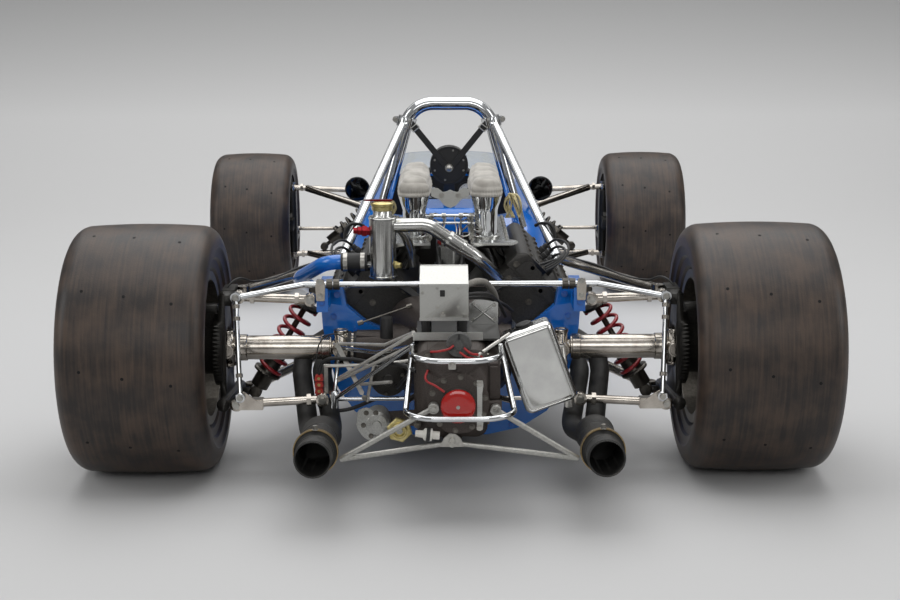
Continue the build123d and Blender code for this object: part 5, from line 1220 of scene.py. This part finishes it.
# Cooling: a polished header tank with a brass pressure cap, and a large alloy pipe across to the right bank.
# The blue return pipe is joined to it by a rubber hose held with two worm clamps.
red_anodised = mottled("red_anodised_alloy", "#6A1019", "#8C1C26", 4, 0.8, 0.24, 0.36)
dress("header_tank", polished_alloy)
dress("water_return_pipe", blue_paint)
TANK_X, TANK_AHEAD, TANK_FOOT, TANK_R = -0.180, 0.046, 0.510, 0.036
bead = [(-0.003, TANK_R), (-0.0015, TANK_R + 0.002), (0.0015, TANK_R + 0.002), (0.003, TANK_R)]
for number, up in enumerate((0.004, 0.160)):
    turned(f"tank_seam_{number}", bead, at(TANK_X, TANK_AHEAD, TANK_FOOT + up), UP, polished_alloy, 48)
cap = [
    (-0.012, 0.0252), (-0.010, 0.0285), (0.0, 0.0285), (0.002, 0.031), (0.008, 0.031), (0.011, 0.026),
    (0.013, 0.018), (0.013, 0.0)]
turned("pressure_cap", cap, at(TANK_X, TANK_AHEAD, 0.702), UP, brass, 32)
slab(
    "cap_lever",
    [(-0.036, -0.006), (0.030, -0.006), (0.034, 0.0), (0.030, 0.006), (-0.036, 0.006), (-0.044, 0.0)],
    at(TANK_X - 0.006, TANK_AHEAD, 0.7175), 0.004, red_anodised, 0.001, up=AHEAD)
union = [
    (0.0, 0.0), (0.0, 0.012), (0.008, 0.012), (0.008, 0.0155), (0.020, 0.0155), (0.022, 0.012),
    (0.032, 0.012), (0.034, 0.009), (0.044, 0.009), (0.044, 0.0)]
turned(
    "red_hose_union", union, at(TANK_X - TANK_R + 0.002, TANK_AHEAD, 0.634), (-1, 0, 0.05), red_anodised,
    6)
turned(
    "tank_drain", [(0.0, 0.0), (0.0, 0.011), (0.006, 0.011), (0.006, 0.008), (0.016, 0.008), (0.016, 0.0)],
    at(TANK_X + TANK_R - 0.002, TANK_AHEAD - 0.012, 0.545), (1, -0.4, 0), brass, 6)
bypass = runs([
    (-0.168, 0.046, 0.648), (-0.138, 0.060, 0.640), (-0.112, 0.090, 0.590), (-0.104, 0.135, 0.528)])
tubes("bypass_pipe", bypass, 0.0125, polished_alloy)
joint_way = (at(0.07, 0.052, 0.562) - at(-0.06, 0.040, 0.652)).normalized()
coupling = [
    (-0.026, 0.0186), (-0.026, 0.0225), (-0.018, 0.0235), (-0.018, 0.0210), (0.018, 0.0210),
    (0.018, 0.0235), (0.026, 0.0225), (0.026, 0.0186)]
turned("pipe_coupling", coupling, at(0.012, 0.0466, 0.602), joint_way, polished_alloy, 40)
HOSE_Z, HOSE_FROM, HOSE_TO = 0.552, -0.222, -0.292
hose = [(0.0, 0.0190), (0.0, 0.0240), (0.070, 0.0240), (0.070, 0.0202)]
turned("return_hose", hose, at(HOSE_FROM, TANK_AHEAD, HOSE_Z), (-1, 0, 0), rubber_hose, 40)
clip = sleeve(-0.0055, 0.0055, 0.0240, 0.0252)
for number, x in enumerate((HOSE_FROM - 0.012, HOSE_TO + 0.012)):
    turned(f"hose_clip_{number}", clip, at(x, TANK_AHEAD, HOSE_Z), RIGHT, bare_steel, 40)
    slab(
        f"hose_clip_worm_{number}", oblong(-0.006, 0.006, -0.005, 0.005),
        at(x, TANK_AHEAD - 0.0265, HOSE_Z + 0.004), 0.006, bare_steel)

# Ignition: a folded aluminium box on a tray over the transaxle, its heavy leads running down the right.
# A grey rotor housing with red leads is on the transaxle's tail, and a red terminal strip on the left truss.
# Painted shade: the tray under the box is coloured near-black for the shadow the box casts on it; the tray
# itself is bright aluminium, like its lip.
tray_painted_shade = mottled("painted_shade_under_box", "#222221", "#333230", 20, 0.1, 0.34, 0.48)
dress(
    "ignition_box", lambda low, high: tray_painted_shade if high.z < 0.44 else brushed_alloy)
BOX_LEFT, BOX_RIGHT, BOX_LOW, BOX_BACK, BOX_SHOULDER = -0.077, 0.041, 0.479, -0.345, 0.570
FACE = BOX_BACK - 0.0012
BOX_SCREWS = [
    (-0.035, 0.560), (0.016, 0.560), (-0.035, 0.512), (0.016, 0.512), (-0.070, 0.548), (0.034, 0.490)]
WINDOW_X, WINDOW_Z = -0.022, 0.547
heads(
    "box_screws", [(at(x, BOX_BACK, z), BACK) for x, z in BOX_SCREWS], bare_steel, 0.0032, 0.0022, 0.004,
    14)
heads("box_stud", [(at(-0.021, BOX_BACK, 0.494), BACK)], bare_steel, 0.0055, 0.012, 0.008)
slab(
    "box_window", oblong(-0.006, 0.006, -0.008, 0.008), at(WINDOW_X, FACE, WINDOW_Z), 0.003, black_plastic,
    0.0008)
slab(
    "box_window_frame", oblong(-0.009, 0.009, -0.0108, 0.0108), at(WINDOW_X, FACE + 0.0006, WINDOW_Z),
    0.0016, brushed_alloy, 0.0005)
FLANGE_HALF = 0.004
for number, z in enumerate((BOX_LOW + FLANGE_HALF, BOX_SHOULDER - FLANGE_HALF)):
    slab(
        f"box_flange_{number}", oblong(BOX_LEFT - 0.001, BOX_RIGHT + 0.001, -FLANGE_HALF, FLANGE_HALF),
        at(0, FACE + 0.0006, z), 0.0018, brushed_alloy, 0.0005)
slab(
    "tray_lip", oblong(-0.094, 0.076, -0.004, 0.016), at(0, -0.3525, 0.436), 0.0025, brushed_alloy, 0.0008)
bobbin = [
    (0.0, 0.0), (0.0, 0.012), (0.010, 0.013), (0.022, 0.010), (0.034, 0.013), (0.044, 0.012), (0.044, 0.0)]
# Columns: across, ahead
BOX_MOUNTS = [(-0.062, -0.325), (0.026, -0.325), (-0.062, -0.265), (0.026, -0.265)]
for number, (x, ahead) in enumerate(BOX_MOUNTS):
    turned(f"box_mount_{number}", bobbin, at(x, ahead, 0.435), UP, rubber_hose, 24)
slab(
    "coil_plate",
    [(0.045, 0.435), (0.118, 0.435), (0.118, 0.492), (0.104, 0.500), (0.060, 0.500), (0.045, 0.488)],
    at(0, -0.196, 0), 0.004, polished_alloy)
coil_ribs = runs(
    [(0.052, -0.199, 0.442), (0.110, -0.199, 0.490)], [(0.052, -0.199, 0.490), (0.110, -0.199, 0.442)])
tubes("coil_plate_ribs", coil_ribs, 0.0026, polished_alloy, bent=False)
heads(
    "coil_plate_screws", [
        (at(x, -0.198, z), BACK)
        for x, z in ((0.056, 0.486), (0.108, 0.486), (0.056, 0.448), (0.108, 0.448))],
    bare_steel, 0.004, 0.003, 0.005, 12)
grey_sleeve = mottled("grey_braided_sleeve", "#6D6A63", "#94908A", 2, 0.2, 0.5, 0.65, relief=0.0004)
main_lead = runs([
    (0.038, -0.285, 0.556), (0.066, -0.262, 0.560), (0.100, -0.190, 0.528), (0.118, -0.110, 0.470),
    (0.122, -0.060, 0.430)])
tubes("ignition_main_lead", main_lead, 0.0080, grey_sleeve)
black_leads = runs(
    [(0.038, -0.300, 0.535), (0.070, -0.285, 0.534), (0.112, -0.200, 0.500), (0.140, -0.120, 0.440)],
    [(0.038, -0.270, 0.520), (0.080, -0.235, 0.512), (0.128, -0.150, 0.480), (0.160, -0.060, 0.440)])
tubes("ignition_black_leads", black_leads, 0.0045, rubber_hose)
grey_moulding = mottled("grey_moulded_cap", "#414140", "#575755", 6, 0.1, 0.40, 0.55)
ROTOR_X, ROTOR_Z = 0.0165, 0.446
rotor = [
    (-0.010, 0.0), (-0.010, 0.022), (0.0, 0.030), (0.010, 0.030), (0.012, 0.028), (0.012, 0.012),
    (0.016, 0.011), (0.016, 0.0)]
turned("rotor_housing", rotor, at(ROTOR_X, -0.448, ROTOR_Z), BACK, grey_moulding, 40)
# Painted shade: each slot is a thin black plate on the housing's face, standing for the dark inside the
# slot.
for number, angle in enumerate((90, 210, 330)):
    t = math.radians(angle)
    slab(
        f"rotor_slot_painted_shade_{number}", oblong(-0.0022, 0.0022, 0.014, 0.027), at(ROTOR_X, -0.4607, ROTOR_Z),
        0.0012, black_plastic, 0.0, across=(math.sin(t), 0, -math.cos(t)),
        up=(math.cos(t), 0, math.sin(t)))
red_wire = mottled("red_insulated_wire", "#8A1719", "#A82325", 10, 0.0, 0.4, 0.5)
rotor_leads = runs(
    [(-0.050, -0.44, 0.425), (-0.028, -0.462, 0.432), (-0.004, -0.466, 0.440), (0.004, -0.464, 0.446)],
    [(0.028, -0.464, 0.440), (0.044, -0.468, 0.428), (0.060, -0.450, 0.420), (0.080, -0.43, 0.405)],
    [(0.018, -0.464, 0.430), (0.034, -0.470, 0.420), (0.052, -0.456, 0.412)],
    [(-0.058, -0.44, 0.380), (-0.062, -0.46, 0.362), (-0.040, -0.47, 0.350), (-0.018, -0.482, 0.338)])
tubes("rotor_leads", rotor_leads, 0.0028, red_wire)
slab(
    "terminal_strip", oblong(-0.005, 0.005, -0.052, 0.052), at(-0.326, -0.104, 0.252), 0.003, bare_steel,
    0.0006)
red_moulding = mottled("red_moulded_terminals", "#96231C", "#B2332A", 12, 0.0, 0.35, 0.5)
TERMINALS, TERMINAL_X, TERMINAL_LOW, TERMINAL_PITCH = 4, -0.344, 0.224, 0.017
for number in range(TERMINALS):
    slab(
        f"terminal_block_{number}",
        [(-0.012, -0.0075), (0.012, -0.0075), (0.009, 0.0075), (-0.009, 0.0075)],
        at(TERMINAL_X, -0.108, TERMINAL_LOW + TERMINAL_PITCH * number), 0.022, red_moulding, 0.0015)
heads(
    "terminal_screws",
    [(at(TERMINAL_X, -0.119, TERMINAL_LOW + TERMINAL_PITCH * n), BACK) for n in range(TERMINALS)], brass,
    0.003, 0.0025, 0.004, 10)
terminal_leads = runs(
    [
        (-0.345, -0.110, 0.285), (-0.331, -0.110, 0.318), (-0.270, -0.130, 0.330), (-0.200, -0.190, 0.335),
        (-0.120, -0.340, 0.366), (-0.085, -0.42, 0.372)],
    [(-0.350, -0.100, 0.215), (-0.340, -0.080, 0.185), (-0.290, -0.07, 0.175), (-0.200, -0.05, 0.20)])
tubes("terminal_leads", terminal_leads, 0.0050, rubber_hose)
left_wire = runs([
    (-0.345, -0.112, 0.288), (-0.350, -0.100, 0.330), (-0.335, -0.085, 0.372), (-0.305, -0.080, 0.385),
    (-0.270, -0.090, 0.372)])
tubes("left_wire", left_wire, 0.0018, rubber_hose)

# Rear lamp: a round red moulded lens with radial prisms in a bright rim, held by one screw at its middle.
# A plated strip beside it, bolted top and bottom, carries the lamp on the transaxle's tail cover.
lamp_low, lamp_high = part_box("rear_lamp")
lamp_middle = (lamp_low + lamp_high) / 2
LAMP_R, LAMP_DEEP, PRISMS = (lamp_high.x - lamp_low.x) / 2, lamp_high.y - lamp_low.y, 24
red_lens, tree, shader = new_material(
    "red_lamp_lens", {"Base Color": srgb("#A81812"), "Roughness": 0.09, "Coat Weight": 0.5})
place = add(tree, "ShaderNodeTexCoord").outputs["Object"]
centred = add(tree, "ShaderNodeVectorMath", {"operation": "SUBTRACT"}, {1: lamp_middle}, {0: place})
axes = add(tree, "ShaderNodeSeparateXYZ", links={0: centred.outputs[0]})
turn = add(
    tree, "ShaderNodeMath", {"operation": "ARCTAN2"}, links={0: axes.outputs["Z"], 1: axes.outputs["X"]})
fan = add(tree, "ShaderNodeMath", {"operation": "MULTIPLY"}, {1: float(PRISMS)}, {0: turn.outputs[0]})
prism = add(tree, "ShaderNodeMath", {"operation": "SINE"}, links={0: fan.outputs[0]})
bumped(tree, shader, prism.outputs[0], 0.14, 0.0004)
lamp_face = (lamp_middle.x, lamp_low.y, lamp_middle.z)
RIM_R = LAMP_R * 0.975
lens = [
    (0.0, 0.0), (0.0, LAMP_R * 0.6), (-0.0012, LAMP_R * 0.8), (-0.004, LAMP_R * 0.93),
    (-0.008, RIM_R), (-LAMP_DEEP + 0.002, RIM_R), (-LAMP_DEEP + 0.002, 0.0)]
lamp_lens = lathe("rear_lamp_lens", lens, lamp_face, BACK, red_lens, 96)
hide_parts("rear_lamp")
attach(lamp_lens, "chassis")
rim_line = [(-0.010, RIM_R), (-0.009, LAMP_R), (-LAMP_DEEP, LAMP_R), (-LAMP_DEEP, RIM_R)]
turned("rear_lamp_rim", rim_line, lamp_face, BACK, chrome, 96)
heads("rear_lamp_screw", [(lamp_face, BACK)], bare_steel, 0.0035, 0.002, 0.0045, 14)
BRACKET_X = 0.0655
slab(
    "lamp_bracket", [
        (-0.007, -0.060), (0.007, -0.060), (0.009, -0.040), (0.006, -0.020), (0.006, 0.030),
        (0.009, 0.050), (0.007, 0.062), (-0.007, 0.062), (-0.006, 0.030), (-0.006, -0.020)],
    at(BRACKET_X, -0.4605, 0.298), 0.004, brushed_alloy, 0.0008)
heads(
    "lamp_bracket_bolts", [(at(BRACKET_X, -0.463, z), BACK) for z in (0.244, 0.352)], bare_steel, 0.0055,
    0.005, 0.0075)

# Catch tank: a hand-beaten aluminium can with rounded edges, polished, leaning against the truss.
# A flat black screw cap closes its top.
tank_alloy = mottled("polished_aluminium_can", "#CDCDCB", "#DFDFDC", 55, 1.0, 0.13, 0.20)
dress("catch_tank", tank_alloy)
LEAN, TANK_HALF_WIDE, TANK_HALF_DEEP, TANK_HALF_TALL = math.radians(20), 0.067, 0.040, 0.106
tank_up = Vector((-math.sin(LEAN), 0, math.cos(LEAN)))
tank_middle = at(0.216, -0.262, 0.346)
tank_cap = [
    (0.0, 0.0), (0.0, 0.025), (0.003, 0.025), (0.003, 0.021), (0.007, 0.0205), (0.009, 0.018),
    (0.009, 0.0)]
tank_across = Vector((math.cos(LEAN), 0, math.sin(LEAN)))
rolled_edge = []
EDGE_IN, EDGE_R = 0.020, 0.011
for corner_x, corner_z, start in ((1, 1, 0), (-1, 1, 90), (-1, -1, 180), (1, -1, 270)):
    middle_x, middle_z = corner_x * (TANK_HALF_WIDE - EDGE_IN), corner_z * (TANK_HALF_TALL - EDGE_IN)
    for across, up in arc(middle_x, middle_z, EDGE_R, start, start + 90, 5):
        rolled_edge.append(
            tank_middle + tank_across * across + tank_up * up - Vector((0, TANK_HALF_DEEP, 0)))
tubes("catch_tank_edge", [rolled_edge + rolled_edge[:1]], 0.0016, tank_alloy, bent=False)
turned("catch_tank_cap", tank_cap, tank_middle + tank_up * TANK_HALF_TALL, tank_up, black_plastic, 32)
